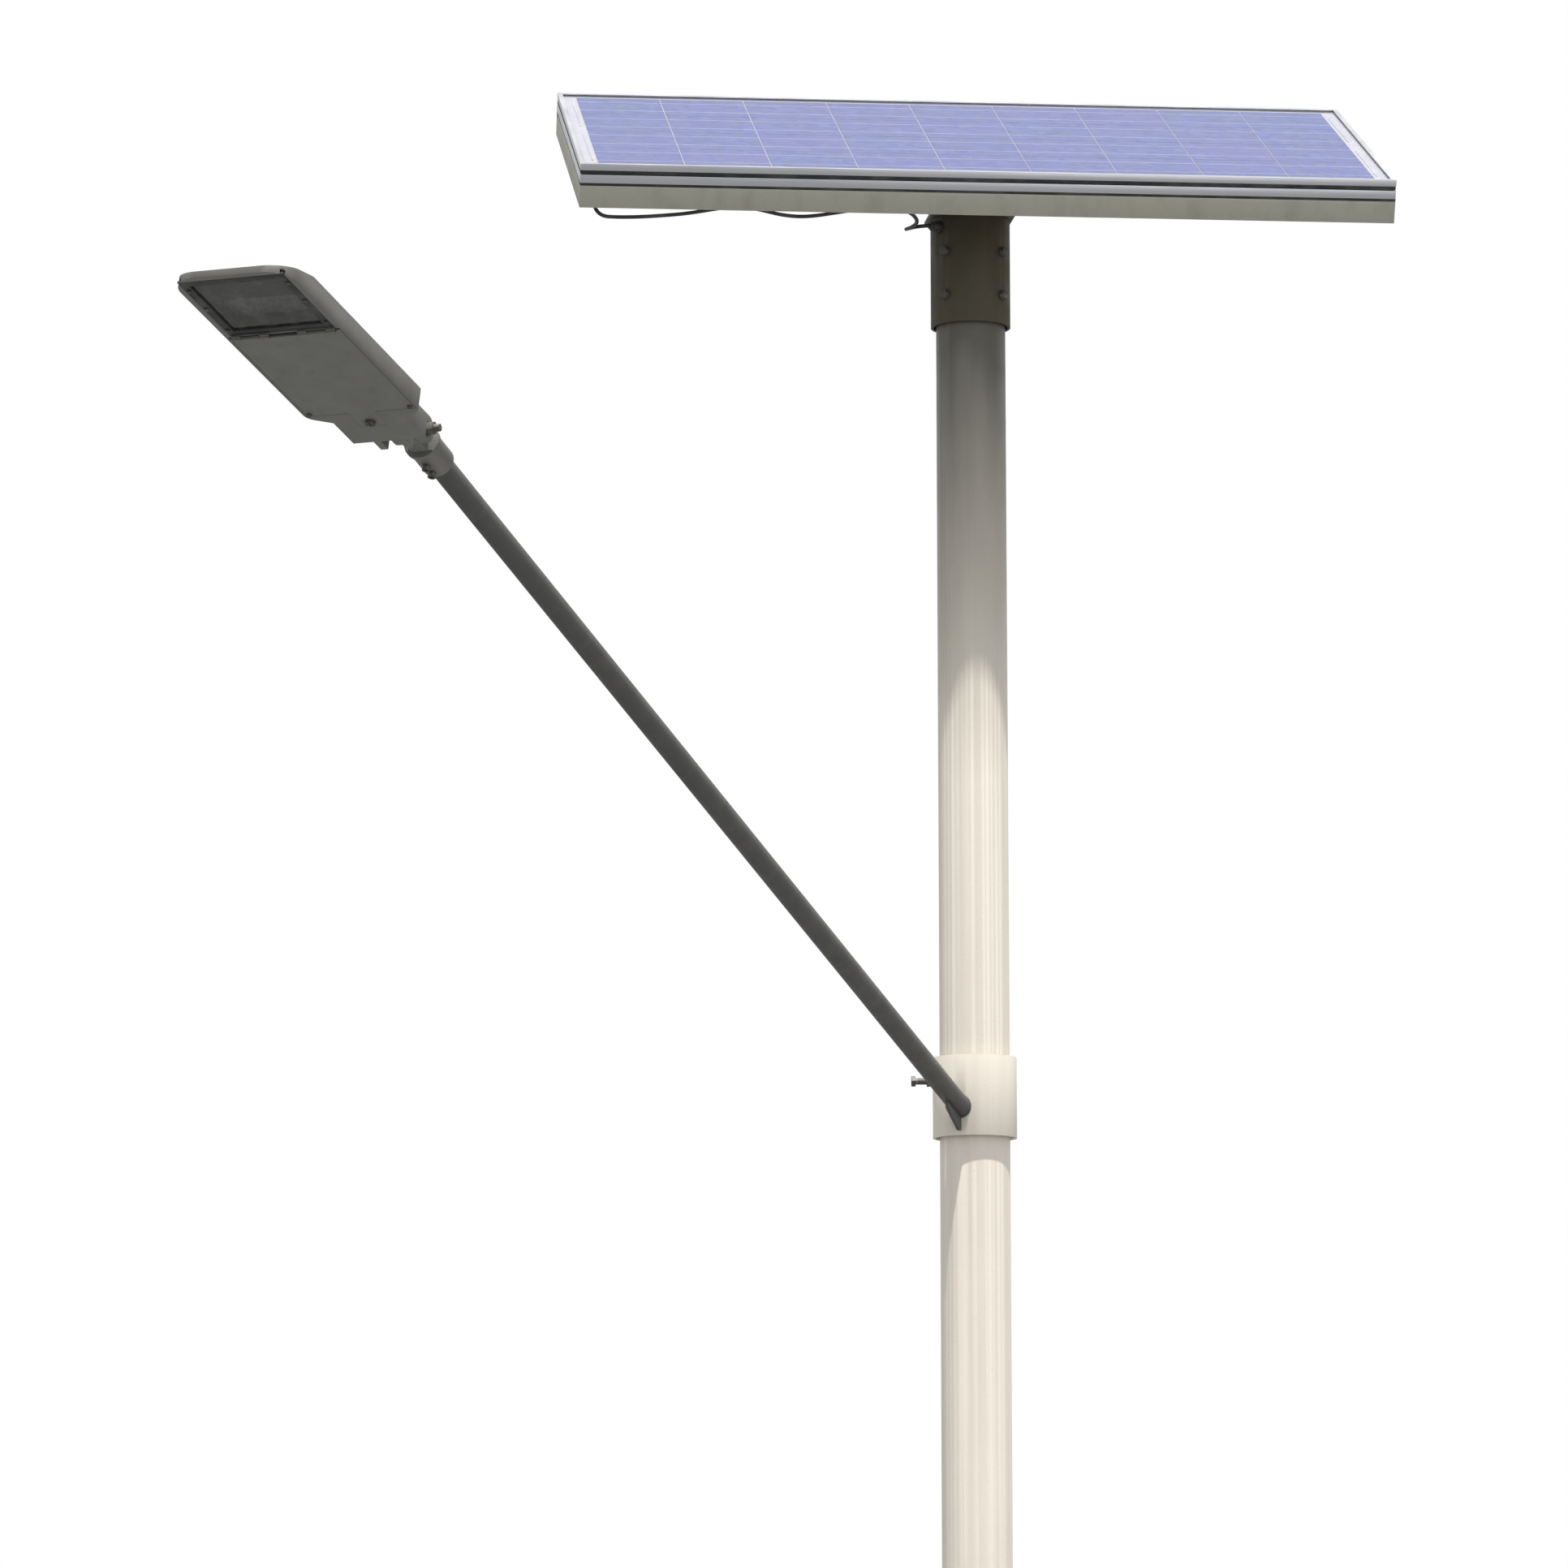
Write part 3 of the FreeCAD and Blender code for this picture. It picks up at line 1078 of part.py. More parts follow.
def makeCableLoop():
    """The slack stretch of the same cable between the last clip and the sleeve's gland."""
    start = panelFrame.multVec(FreeCAD.Vector(*cableEnd))
    mouth = glandYaw.multVec(FreeCAD.Vector(value("sleeveDiameter") / 2 + 22, 0, value(glandHeight)))
    ahead = panelFrame.multVec(FreeCAD.Vector(cableEnd[0] + 28, cableEnd[1], cableEnd[2] + 2))
    route = [tuple(start), tuple(ahead), (-138, -251, 4457), (-121, -216, 4449), (-127, -176, 4447),
             (-136, -136, 4451), (-127, -98, 4461), (-105, -65.6, 4473), tuple(mouth)]
    cable("cable_loop", route, value("cableThick"), worldFrame)


# lamp head, in its own frame

under = "(0 - headDrop)"
sideTop = "(0 - headDrop + headEdge)"
crownTop = "(0 - headDrop + headEdge + headCrown)"


def plan(inset, rear, front):
    """The plan outline between two stations, drawn in by an inset."""
    return [(rear, "0 - headHalf + %s" % inset), (front, "0 - headHalf + %s" % inset),
            (front, "headHalf - %s" % inset), (rear, "headHalf - %s" % inset)]


tipSlopeAngle = 13.5


def makeHousing():
    """The lamp head casting: shallow tray with raised back, fins, tail and knuckle cheeks."""
    body = padBody("housing", "XY_Plane", [[
        ("headTail", "0 - tailHalf"), ("headRear - 22", "0 - tailHalf"), ("headRear", "0 - headHalf"),
        ("headTip", "0 - headHalf"), ("headTip", "headHalf"), ("headRear", "headHalf"),
        ("headRear - 22", "tailHalf"), ("headTail", "tailHalf")]], "headEdge", offset=under)

    def atTip(edge):
        return isUpright(edge) and edge.Vertexes[0].X > value("headTip") - 1

    def atShoulder(edge):
        return isUpright(edge) and abs(edge.Vertexes[0].X - value("headRear")) < 1

    roundEdges(body, "tipCorners", "42", atTip)
    roundEdges(body, "shoulderCorners", "22", atShoulder)
    addPad(body, "crown", "XY_Plane", [[
        ("headTail + 12", "0 - tailHalf + 16"), ("headRear", "0 - headHalf + 24"),
        ("dividerAt + 12", "0 - headHalf + 24"),
        ("dividerAt + 12", "headHalf - 24"), ("headRear", "headHalf - 24"),
        ("headTail + 12", "tailHalf - 16")]],
        "headCrown", sideTop)

    def onCrown(edge):
        ends = [vertex.Point for vertex in edge.Vertexes]
        return len(ends) == 2 and all(abs(point.z - value(crownTop)) < 1e-6 for point in ends)

    roundEdges(body, "crownEdges", "14", onCrown)
    addPad(body, "gearRoom", "XY_Plane", [plan("wallThick", "headRear + 6", "dividerAt - wallThick / 2")],
           "headEdge - wallThick", under, isCut=True, reversedWay=True)
    addPad(body, "gearRoomDeep", "XY_Plane", [plan("32", "headRear + 10", "dividerAt - wallThick / 2")],
           "headEdge + headCrown - wallThick", under, isCut=True, reversedWay=True)
    addPad(body, "lightRecess", "XY_Plane", [plan("9", "dividerAt + wallThick / 2", "headTip - 10")],
           "8", under, isCut=True, reversedWay=True)
    addPad(body, "lightRoom", "XY_Plane", [plan("20", "dividerAt + 12", "headTip - roomEnd")],
           "headEdge - wallThick", under, isCut=True, reversedWay=True)
    fins = [box("fin%d" % number, ("dividerAt + 4", "(%d) * 13 - 1.6" % number, sideTop + " - 1"),
                ("headTip - dividerAt - roomEnd + 8", "3.2", "19")) for number in range(-5, 6)]
    bevel = box("finBevel", ("headTip - 165", "0 - headHalf", sideTop + " + 19"),
                ("140", "2 * headHalf", "60"))
    bevel.Placement = FreeCAD.Placement(bevel.Placement.Base, FreeCAD.Rotation(FreeCAD.Vector(0, 1, 0), 14))
    finBlock = cutAway("finBlock", fused("finRow", fins), [bevel])
    cheeks = []
    for side in (-1, 1):
        start = "14.3" if side > 0 else "-26.3"
        cheeks.append(rod("cheekEye%d" % side, "22", "12", ("0", start, "0"), "Y"))
        cheeks.append(box("cheekWeb%d" % side, ("0", start, "-22"), ("headTail + 20", "12", "44")))
        cheeks.append(box("cheekFoot%d" % side, ("42", start, under), ("headTail - 20", "12", "40")))
    tail = box("tailBlock", ("34", "-26.3", "-22"), ("60", "52.6", "44"))
    slope = box("tipSlope", ("0", "0 - 2 * headHalf", "0"), ("300", "4 * headHalf", "80"))
    place = FreeCAD.Placement(FreeCAD.Vector(value("headTip - tipSlopeLong"), 0, value(sideTop)),
                              FreeCAD.Rotation(FreeCAD.Vector(0, 1, 0), tipSlopeAngle))
    tray = cutAway("thinTray", body, [carried(slope, place)])
    blank = fused("housingBlank", [tray, finBlock, tail] + cheeks)
    tools = [rod("knuckleHole", "6.05", "60", ("0", "-30", "0"), "Y"),
             rod("headWire", "6", "160", ("30", "0", "-8"), "X"),
             box("tabPocket", ("headRear - 40", "-22.3", under), ("50", "44.6", "coverThick + 0.3"))]
    tools += bezelScrewTools("bezelTap", "1.5", "14")
    tools += coverScrewTools("coverTap")
    finish(cutAway("headHousing", blank, tools), "head_housing", headFrame)


bezelScrewSpots = [(along, side)
                   for along in ("dividerAt + 20", "(dividerAt + headTip) / 2 - 3", "headTip - 40")
                   for side in (-1, 1)]


def bezelScrewTools(name, radius, length):
    return [rod("%s%d" % (name, number), radius, length, (along, "(%d) * (headHalf - 14.5)" % side, under))
            for number, (along, side) in enumerate(bezelScrewSpots)]


def makeKnuckleBolt():
    pieces = [
        rod("knuckleShank", "6", "78", ("0", "-30.3", "0"), "Y"),
        hexagon("knuckleHead", "19", "8", ("0", "-38.3", "0"), "Y"),
        hexagon("knuckleNut", "19", "10", ("0", "28.3", "0"), "Y"),
        rod("knuckleWasherA", "12", "2", ("0", "26.3", "0"), "Y"),
        rod("knuckleWasherB", "12", "4", ("0", "-30.3", "0"), "Y"),
    ]
    finish(fused("knuckle", pieces), "knuckle_bolt", headFrame)


ledTop = "(0 - wallThick - headDrop + headEdge)"


def makeLightEngine():
    """Light-emitting board, its chips, the lens plate over them, the seal, glass and bezel."""
    board = slabIn("ledSheet", "22", "dividerAt + 14", "headTip - roomEnd - 2", ledTop + " - 1.6", "1.6")
    finish(group("ledBoard", [board]), "led_board", headFrame)
    chips = []
    lenses = []
    for column in range(4):
        for row in range(6):
            along = "dividerAt + 26 + %d * 22" % column
            across = "%d * 22 - 55" % row
            name = "%d_%d" % (column, row)
            chips.append(box("chip" + name, (along + " - 1.75", across + " - 1.75", ledTop + " - 3.4"),
                             ("3.5", "3.5", "1.8")))
            dome = bind(doc.addObject("Part::Sphere", "dome" + name), Radius="8")
            moved(dome, along, across, ledTop + " - 8.6")
            lenses.append(dome)
    finish(group("ledChips", chips), "led_chips", headFrame)
    plate = slabIn("lensSheet", "22", "dividerAt + 14", "headTip - roomEnd - 2", ledTop + " - 8.6", "2.6")
    keep = slabIn("lensKeep", "20", "dividerAt + 12", "headTip - roomEnd", ledTop + " - 20", "14")
    finish(fused("lensPlate", [plate, shared("domes", fused("domeRow", lenses), keep)]), "lens_plate",
           headFrame)
    glassLowSide = under + " + 3"
    seal = cutAway("glassSeal",
                   slabIn("sealSheet", "12", "dividerAt + 5", "headTip - 13", glassLowSide + " + 4", "1"),
                   [slabIn("sealWindow", "20", "dividerAt + 12", "headTip - 22", glassLowSide + " + 3", "3")])
    sealed = cutAway("glassSealCut", seal, bezelScrewTools("sealScrewWay", "1.6", "14"))
    finish(sealed, "glass_seal", headFrame)
    glass = cutAway("lampGlassCut",
                    slabIn("glassSheetHead", "17", "dividerAt + 9", "headTip - 18", glassLowSide, "4"), [
        rod("glassNotch%d" % number, "2.6", "14", (along, "(%d) * (headHalf - 14.5)" % side, under))
        for number, (along, side) in enumerate(bezelScrewSpots)])
    finish(glass, "lamp_glass", headFrame)
    rim = cutAway("bezelRim", slabIn("bezelSheet", "9.3", "dividerAt + 2.3", "headTip - 10.3", under, "3"),
                  [slabIn("bezelWindow", "22", "dividerAt + 16", "headTip - 25", under + " - 1", "6")])
    finish(cutAway("bezel", rim, bezelScrewTools("bezelWay", "1.6", "14")), "lamp_bezel", headFrame)
    screws = []
    for number, (along, side) in enumerate(bezelScrewSpots):
        across = "(%d) * (headHalf - 14.5)" % side
        shank = rod("bezelShank%d" % number, "1.5", "11", (along, across, under + " - 1"))
        head = rod("bezelHead%d" % number, "3.4", "2", (along, across, under + " - 2"))
        screws.append(fused("bezelScrew%d" % number, [shank, head]))
    finish(group("bezelScrews", screws), "bezel_screws", headFrame)


def slabIn(name, inset, rear, front, low, thick):
    """A flat rectangular layer inside the lamp head."""
    return box(name, (rear, "0 - headHalf + " + inset, low),
               ("(%s) - (%s)" % (front, rear), "2 * headHalf - 2 * " + inset, thick))


def makeDriver():
    """The lamp's driver: a metal case on the gear room's ceiling with four lugs."""
    top = crownTop + " - wallThick"
    case = box("driverCase", ("headRear + 70", "-34", top + " - 34"), ("150", "68", "34"))
    lugs = [box("driverLug%d" % side, ("headRear + 145 + (%d) * 82 - 8" % side, "-28", top + " - 2"),
                ("16", "56", "2"))
            for side in (-1, 1)]
    finish(fused("driver", [case] + lugs), "led_driver", headFrame)


coverScrewSpots = (("headRear + 14", -1), ("headRear + 14", 1))


def coverScrewTools(name):
    tools = [rod(name + "Big", "3.1", "14", ("headRear - 26", "0", under))]
    tools += [rod("%s%d" % (name, side), "2.1", "12", (along, "(%d) * (headHalf - 11)" % side, under))
              for along, side in coverScrewSpots]
    return tools


hingeAt = "(dividerAt - 4)"
hingeBelow = "(0 - headDrop - 3.3)"
hingeEyeRadius = "3.2"
knuckleCentres = (-54, 54)


def makeCover():
    """The gear cover: plate with a stiffening rim, a screw tab and hinge eyes."""
    plate = slabIn("coverPlate", "5", "headRear + 7", "dividerAt - 7", under, "coverThick")
    tab = box("coverTab", ("headRear - 39.5", "-22", under), ("48", "44", "coverThick"))
    rim = cutAway("coverRim", slabIn("rimOuter", "8", "headRear + 12", "dividerAt - 12", under + " + 2", "8"),
                  [slabIn("rimInner", "10.5", "headRear + 14.5", "dividerAt - 14.5", under, "14")])
    eyes = [rod("coverEye%d" % number, hingeEyeRadius, "30", (hingeAt, "%d - 15" % across, hingeBelow), "Y")
            for number, across in enumerate(knuckleCentres)]
    arms = [box("coverEyeArm%d" % number, (hingeAt + " - 12", "%d - 15" % across, under + " - 2.5"),
                ("12", "30", "2.5"))
            for number, across in enumerate(knuckleCentres)]
    ribs = [box("coverRib%d" % number, ("headRear + 14", "%d * 40 - 61" % number, under + " + 2"),
                ("dividerAt - headRear - 28", "2", "4")) for number in range(4)]
    bore = [rod("coverPinWay", "1.55", "180", (hingeAt, "-90", hingeBelow), "Y"),
            rod("coverBigWay", "3.2", "12", ("headRear - 26", "0", under + " - 4"))]
    bore += [rod("coverSmallWay%d" % side, "2.1", "22",
                 (along, "(%d) * (headHalf - 11)" % side, under + " - 4"))
             for along, side in coverScrewSpots]
    finish(cutAway("cover", fused("coverBlank", [plate, tab, rim] + eyes + arms + ribs), bore), "gear_cover",
           headFrame)


def makeCoverScrews():
    """One large captive screw on the tab and two small ones at the cover's corners."""
    big = cutAway("bigScrew", fused("bigScrewBlank", [
        rod("bigScrewHead", "8", "5", ("headRear - 26", "0", under + " - 5")),
        rod("bigScrewShank", "3", "13", ("headRear - 26", "0", under + " - 1"))]),
        [box("bigScrewSlot", ("headRear - 36", "-1", under + " - 6"), ("20", "2", "3"))])
    screws = [big]
    for along, side in coverScrewSpots:
        across = "(%d) * (headHalf - 11)" % side
        screws.append(fused("coverScrew%d" % side, [
            rod("coverScrewHead%d" % side, "4", "3", (along, across, under + " - 3")),
            rod("coverScrewShank%d" % side, "2", "10", (along, across, under + " - 1"))]))
    finish(group("coverScrews", screws), "cover_screws", headFrame)


def makeCoverHinge():
    """The fixed hinge eyes beside the divider, and the pin through all eyes."""
    eyes = []
    for number, across in enumerate((-77, -31, 31, 77)):
        eye = rod("fixedEye%d" % number, hingeEyeRadius, "15", (hingeAt, "%d - 7.5" % across, hingeBelow),
                  "Y")
        arm = box("fixedArm%d" % number, (hingeAt, "%d - 7.5" % across, under + " - 3"), ("5.5", "15", "3"))
        bore = rod("fixedBore%d" % number, "1.5", "15", (hingeAt, "%d - 7.5" % across, hingeBelow), "Y")
        eyes.append(cutAway("fixedHinge%d" % number, fused("fixedHingeBlank%d" % number, [eye, arm]), [bore]))
    finish(group("coverHinge", eyes), "cover_hinge", headFrame)
    finish(group("coverPin", [rod("coverPinRod", "1.5", "172", (hingeAt, "-86", hingeBelow), "Y")]),
           "cover_hinge_pin", headFrame)


# build, check and write

makePoleTube()
makeBaseFlange()
makeBaseGussets()
makeEarthBolt()
makeBattery()
makeBatteryShelf()
makeGearPlate()
makeController()
makeTerminals()
makeDoorHinge()
makeDoorHingePins()
makeDoor()
makeDoorScrews()
makeCollar()
makeCollarPads()
makeJackScrews()
makeArmTube()
makeArmGusset()
makeArmSpigot()
makeSpigotScrews()
makeLampCable()
makeSleeve()
makeSleevePlate()
makeTiltLugs()
makeSleeveBolts()
makePivotBolt()
makeGland()
makeModuleFrames()
makeLaminate()
makeRails()
makeTiltEars()
makeTiltBolts()
makeModuleBolts()
makeJunctionBox()
makeCableClips()
makeModuleCable()
makeCableLoop()
makeHousing()
makeKnuckleBolt()
makeLightEngine()
makeDriver()
makeCover()
makeCoverScrews()
makeCoverHinge()
doc.recompute()

faults = [thing.Label for thing in doc.Objects if "Invalid" in thing.State or "Error" in thing.State]
for thing in subParts:
    if thing.Shape.isNull() or not thing.Shape.isValid() or thing.Shape.Volume <= 0:
        faults.append(thing.Label + " shape")
if faults:
    raise RuntimeError("not sound: " + ", ".join(faults))

os.makedirs("parts", exist_ok=True)
for thing in subParts:
    thing.Shape.exportStep("parts/%s.step" % thing.Label)
print("%d sub-parts written" % len(subParts))
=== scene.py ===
import json
import math

import bmesh
import bpy
from mathutils import Matrix, Vector


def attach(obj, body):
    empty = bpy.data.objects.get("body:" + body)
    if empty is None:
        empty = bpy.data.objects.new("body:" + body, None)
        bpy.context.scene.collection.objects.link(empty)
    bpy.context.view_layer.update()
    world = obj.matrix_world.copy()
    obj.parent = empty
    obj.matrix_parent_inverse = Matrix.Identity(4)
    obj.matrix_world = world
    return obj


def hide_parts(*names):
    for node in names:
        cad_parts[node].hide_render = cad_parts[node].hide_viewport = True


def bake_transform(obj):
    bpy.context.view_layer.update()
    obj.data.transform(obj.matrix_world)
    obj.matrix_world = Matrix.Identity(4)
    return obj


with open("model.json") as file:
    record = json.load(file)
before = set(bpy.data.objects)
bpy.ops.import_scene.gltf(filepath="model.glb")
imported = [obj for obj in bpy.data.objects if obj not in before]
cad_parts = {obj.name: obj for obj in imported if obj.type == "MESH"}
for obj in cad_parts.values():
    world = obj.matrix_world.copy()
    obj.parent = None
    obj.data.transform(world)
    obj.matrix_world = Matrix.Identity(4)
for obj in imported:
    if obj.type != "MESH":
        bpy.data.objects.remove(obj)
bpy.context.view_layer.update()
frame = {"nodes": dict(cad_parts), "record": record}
bodies = frame["record"]["behaviour"]["bodies"]
print("frame loaded:", len(frame["nodes"]), "nodes")

# the two tilted places of the lamp: the module, and the lamp head at the end of the arm
panelPlace = Matrix.Translation((0, 0, 4.660)) @ Matrix.Rotation(math.radians(24.2), 4, "X")
armYaw = Matrix.Rotation(math.radians(-118), 4, "Z")
armPlace = Matrix.Translation((0, 0, 2.831)) @ armYaw @ Matrix.Rotation(math.radians(-19.6), 4, "Y")
headPlace = (Matrix.Translation(armPlace @ Vector((2.551, 0, 0)))
             @ armYaw @ Matrix.Rotation(math.radians(-15), 4, "Y"))

# camera, world and lights

cameraSetup = {
    "place": (-1.6769, -13.3353, 1.5489),
    "heading": 5.70,     # degrees from +Y towards +X
    "pitch": 8.07,
    "roll": -0.11,
    "lens": 171.2,
}


def addCamera(setup):
    data = bpy.data.cameras.new("camera")
    data.lens = setup["lens"]
    data.sensor_width = 36
    data.clip_end = 200
    camera = bpy.data.objects.new("camera", data)
    bpy.context.scene.collection.objects.link(camera)
    turn = (Matrix.Rotation(math.radians(-setup["heading"]), 4, "Z")
            @ Matrix.Rotation(math.radians(90 + setup["pitch"]), 4, "X")
            @ Matrix.Rotation(math.radians(setup["roll"]), 4, "Z"))
    camera.matrix_world = Matrix.Translation(setup["place"]) @ turn
    bpy.context.scene.camera = camera


lightSetup = {
    "skyTop": 0.95,
    "skySide": 0.60,
    "skyBelow": 0.42,
    "keyStrength": 4.4,
    "keyHeight": 74,     # degrees above the horizon
    "keySide": 12,       # degrees from -Y towards +X
    "keySoftness": 1.2,
    "fillPower": 60,     # watts
    "fillPlace": (3.0, -8.0, 3.2),
    "fillSize": 5.0,
    "floorTone": 0.34,
    "floorSize": 60.0,   # metres
}


def link(tree, output, socket):
    tree.links.new(output, socket)


def addWorld(setup):
    world = bpy.data.worlds.new("studio")
    bpy.context.scene.world = world
    world.use_nodes = True
    tree = world.node_tree
    tree.nodes.clear()
    place = tree.nodes.new("ShaderNodeTexCoord")
    split = tree.nodes.new("ShaderNodeSeparateXYZ")
    ramp = tree.nodes.new("ShaderNodeValToRGB")
    shift = tree.nodes.new("ShaderNodeMath")
    shift.operation = "MULTIPLY_ADD"
    shift.inputs[1].default_value = 0.5
    shift.inputs[2].default_value = 0.5
    soft = tree.nodes.new("ShaderNodeBackground")
    plain = tree.nodes.new("ShaderNodeBackground")
    rays = tree.nodes.new("ShaderNodeLightPath")
    mix = tree.nodes.new("ShaderNodeMixShader")
    out = tree.nodes.new("ShaderNodeOutputWorld")
    stops = ramp.color_ramp.elements
    stops[0].position, stops[1].position = 0.42, 1.0
    stops[0].color = (setup["skyBelow"], setup["skyBelow"], setup["skyBelow"] * 0.98, 1)
    stops[1].color = (setup["skyTop"] * 0.97, setup["skyTop"] * 0.985, setup["skyTop"], 1)
    middle = stops.new(0.5)
    middle.color = (setup["skySide"], setup["skySide"], setup["skySide"], 1)
    link(tree, place.outputs["Generated"], split.inputs[0])
    link(tree, split.outputs["Z"], shift.inputs[0])
    link(tree, shift.outputs[0], ramp.inputs[0])
    link(tree, ramp.outputs[0], soft.inputs["Color"])
    plain.inputs["Color"].default_value = (1, 1, 1, 1)
    link(tree, rays.outputs["Is Camera Ray"], mix.inputs[0])
    link(tree, soft.outputs[0], mix.inputs[1])
    link(tree, plain.outputs[0], mix.inputs[2])
    link(tree, mix.outputs[0], out.inputs[0])


def addLights(setup):
    scene = bpy.context.scene
    scene.view_settings.view_transform = "Standard"
    key = bpy.data.lights.new("key", "SUN")
    key.energy = setup["keyStrength"]
    key.angle = math.radians(setup["keySoftness"])
    key.color = (1.0, 0.97, 0.92)
    keyObject = bpy.data.objects.new("key", key)
    keyObject.rotation_euler = (math.radians(90 - setup["keyHeight"]), 0, math.radians(setup["keySide"]))
    scene.collection.objects.link(keyObject)
    fill = bpy.data.lights.new("fill", "AREA")
    fill.energy = setup["fillPower"]
    fill.size = setup["fillSize"]
    fillObject = bpy.data.objects.new("fill", fill)
    fillObject.location = setup["fillPlace"]
    aim = Vector((0, 0, 3.0)) - fillObject.location
    fillObject.rotation_euler = aim.to_track_quat("-Z", "Y").to_euler()
    scene.collection.objects.link(fillObject)


def addFloor(setup):
    half = setup["floorSize"] / 2
    mesh = bpy.data.meshes.new("floor")
    corners = [(-half, -half, 0), (half, -half, 0), (half, half, 0), (-half, half, 0)]
    mesh.from_pydata(corners, [], [(0, 1, 2, 3)])
    floor = bpy.data.objects.new("floor", mesh)
    bpy.context.scene.collection.objects.link(floor)
    material = bpy.data.materials.new("floorPaint")
    material.use_nodes = True
    tone = setup["floorTone"]
    shader = material.node_tree.nodes["Principled BSDF"]
    shader.inputs["Base Color"].default_value = (tone, tone, tone, 1)
    shader.inputs["Roughness"].default_value = 0.8
    mesh.materials.append(material)
    # the sky below the horizon already gives the light from below
    floor.visible_diffuse = False
    floor.visible_glossy = False


addCamera(cameraSetup)
addWorld(lightSetup)
addLights(lightSetup)
addFloor(lightSetup)
print("camera, lights and floor set")

# materials: small helpers first


def addNode(tree, kind, **settings):
    node = tree.nodes.new(kind)
    for name, setting in settings.items():
        setattr(node, name, setting)
    return node


def startMaterial(name):
    material = bpy.data.materials.new(name)
    material.use_nodes = True
    tree = material.node_tree
    shader = tree.nodes["Principled BSDF"]
    place = addNode(tree, "ShaderNodeTexCoord")
    return material, tree, shader, place.outputs["Object"]


def turned(tree, source, turn=(0, 0, 0), stretch=(1, 1, 1)):
    # a pattern laid along a tilted part: turned into its frame, then stretched
    mapping = addNode(tree, "ShaderNodeMapping")
    mapping.vector_type = "TEXTURE"
    mapping.inputs["Rotation"].default_value = turn
    link(tree, source, mapping.inputs["Vector"])
    scaling = addNode(tree, "ShaderNodeMapping")
    scaling.inputs["Scale"].default_value = stretch
    link(tree, mapping.outputs[0], scaling.inputs["Vector"])
    return scaling.outputs[0]


def noise(tree, source, scale, detail=3.0, rough=0.55):
    node = addNode(tree, "ShaderNodeTexNoise")
    node.inputs["Scale"].default_value = scale
    node.inputs["Detail"].default_value = detail
    node.inputs["Roughness"].default_value = rough
    link(tree, source, node.inputs["Vector"])
    return node.outputs["Fac"]


def spread(tree, source, low, high, fromLow=0.3, fromHigh=0.7):
    node = addNode(tree, "ShaderNodeMapRange")
    for name, setting in (("From Min", fromLow), ("From Max", fromHigh), ("To Min", low), ("To Max", high)):
        node.inputs[name].default_value = setting
    link(tree, source, node.inputs["Value"])
    return node.outputs[0]


def combine(tree, way, first, second):
    node = addNode(tree, "ShaderNodeMath", operation=way)
    for socket, item in zip(node.inputs, (first, second)):
        if isinstance(item, (int, float)):
            socket.default_value = item
        else:
            link(tree, item, socket)
    return node.outputs[0]


def tint(tree, way, share, first, second):
    node = addNode(tree, "ShaderNodeMix", data_type="RGBA", blend_type=way)
    for socket, item in ((node.inputs[0], share), (node.inputs[6], first), (node.inputs[7], second)):
        if isinstance(item, (int, float)):
            socket.default_value = item
        elif isinstance(item, tuple):
            socket.default_value = item + (1,)
        else:
            link(tree, item, socket)
    return node.outputs[2]


def bump(tree, shader, height, depth, strength=1.0):
    node = addNode(tree, "ShaderNodeBump")
    node.inputs["Distance"].default_value = depth
    node.inputs["Strength"].default_value = strength
    link(tree, height, node.inputs["Height"])
    link(tree, node.outputs[0], shader.inputs["Normal"])


def darker(colour, share):
    return tuple(channel * share for channel in colour)


def powderCoat(name, colour, dirt, roughness=0.42, grain=0.00012, dirtShare=0.35, paintedShade=None, paintedSideShade=0):
    # sprayed and baked paint: orange peel, faint mottling, rain streaks and fine dust; it can also paint
    # shade, darker with height or on upright walls
    material, tree, shader, place = startMaterial(name)
    mottle = spread(tree, noise(tree, place, 6, 5), 0, 0.5)
    streaks = noise(tree, turned(tree, place, stretch=(34, 34, 1.4)), 1.0, 4)
    runs = spread(tree, streaks, 0, dirtShare, 0.48, 0.72)
    specks = spread(tree, noise(tree, place, 260, 2), 0, 0.4, 0.66, 0.74)
    base = tint(tree, "MIX", mottle, colour, darker(colour, 0.93))
    base = tint(tree, "MIX", runs, base, dirt)
    base = tint(tree, "MIX", specks, base, dirt)
    # painted shade: the colour darkens with height between two given levels
    if paintedShade:
        split = addNode(tree, "ShaderNodeSeparateXYZ")
        link(tree, place, split.inputs[0])
        wander = combine(tree, "MULTIPLY", noise(tree, turned(tree, place, stretch=(9, 9, 2)), 1.0, 4), 0.3)
        height = combine(tree, "ADD", split.outputs["Z"], wander)
        share = spread(tree, height, 0, paintedShade["share"], paintedShade["low"], paintedShade["high"])
        base = tint(tree, "MIX", share, base, paintedShade["colour"])
    if paintedSideShade:
        # painted shade: walls that stand upright are darkened, flat faces are not
        upright = addNode(tree, "ShaderNodeSeparateXYZ")
        link(tree, tree.nodes["Texture Coordinate"].outputs["Normal"], upright.inputs[0])
        flatness = combine(tree, "ABSOLUTE", upright.outputs["Z"], 0)
        base = tint(tree, "MIX", spread(tree, flatness, paintedSideShade, 0, 0.35, 0.85), base, (0.05, 0.05, 0.046))
    link(tree, base, shader.inputs["Base Color"])
    gloss = spread(tree, noise(tree, place, 22, 4), roughness - 0.06, roughness + 0.12)
    link(tree, gloss, shader.inputs["Roughness"])
    peel = noise(tree, place, 520, 2)
    bump(tree, shader, peel, grain * 4, 0.5)
    return material


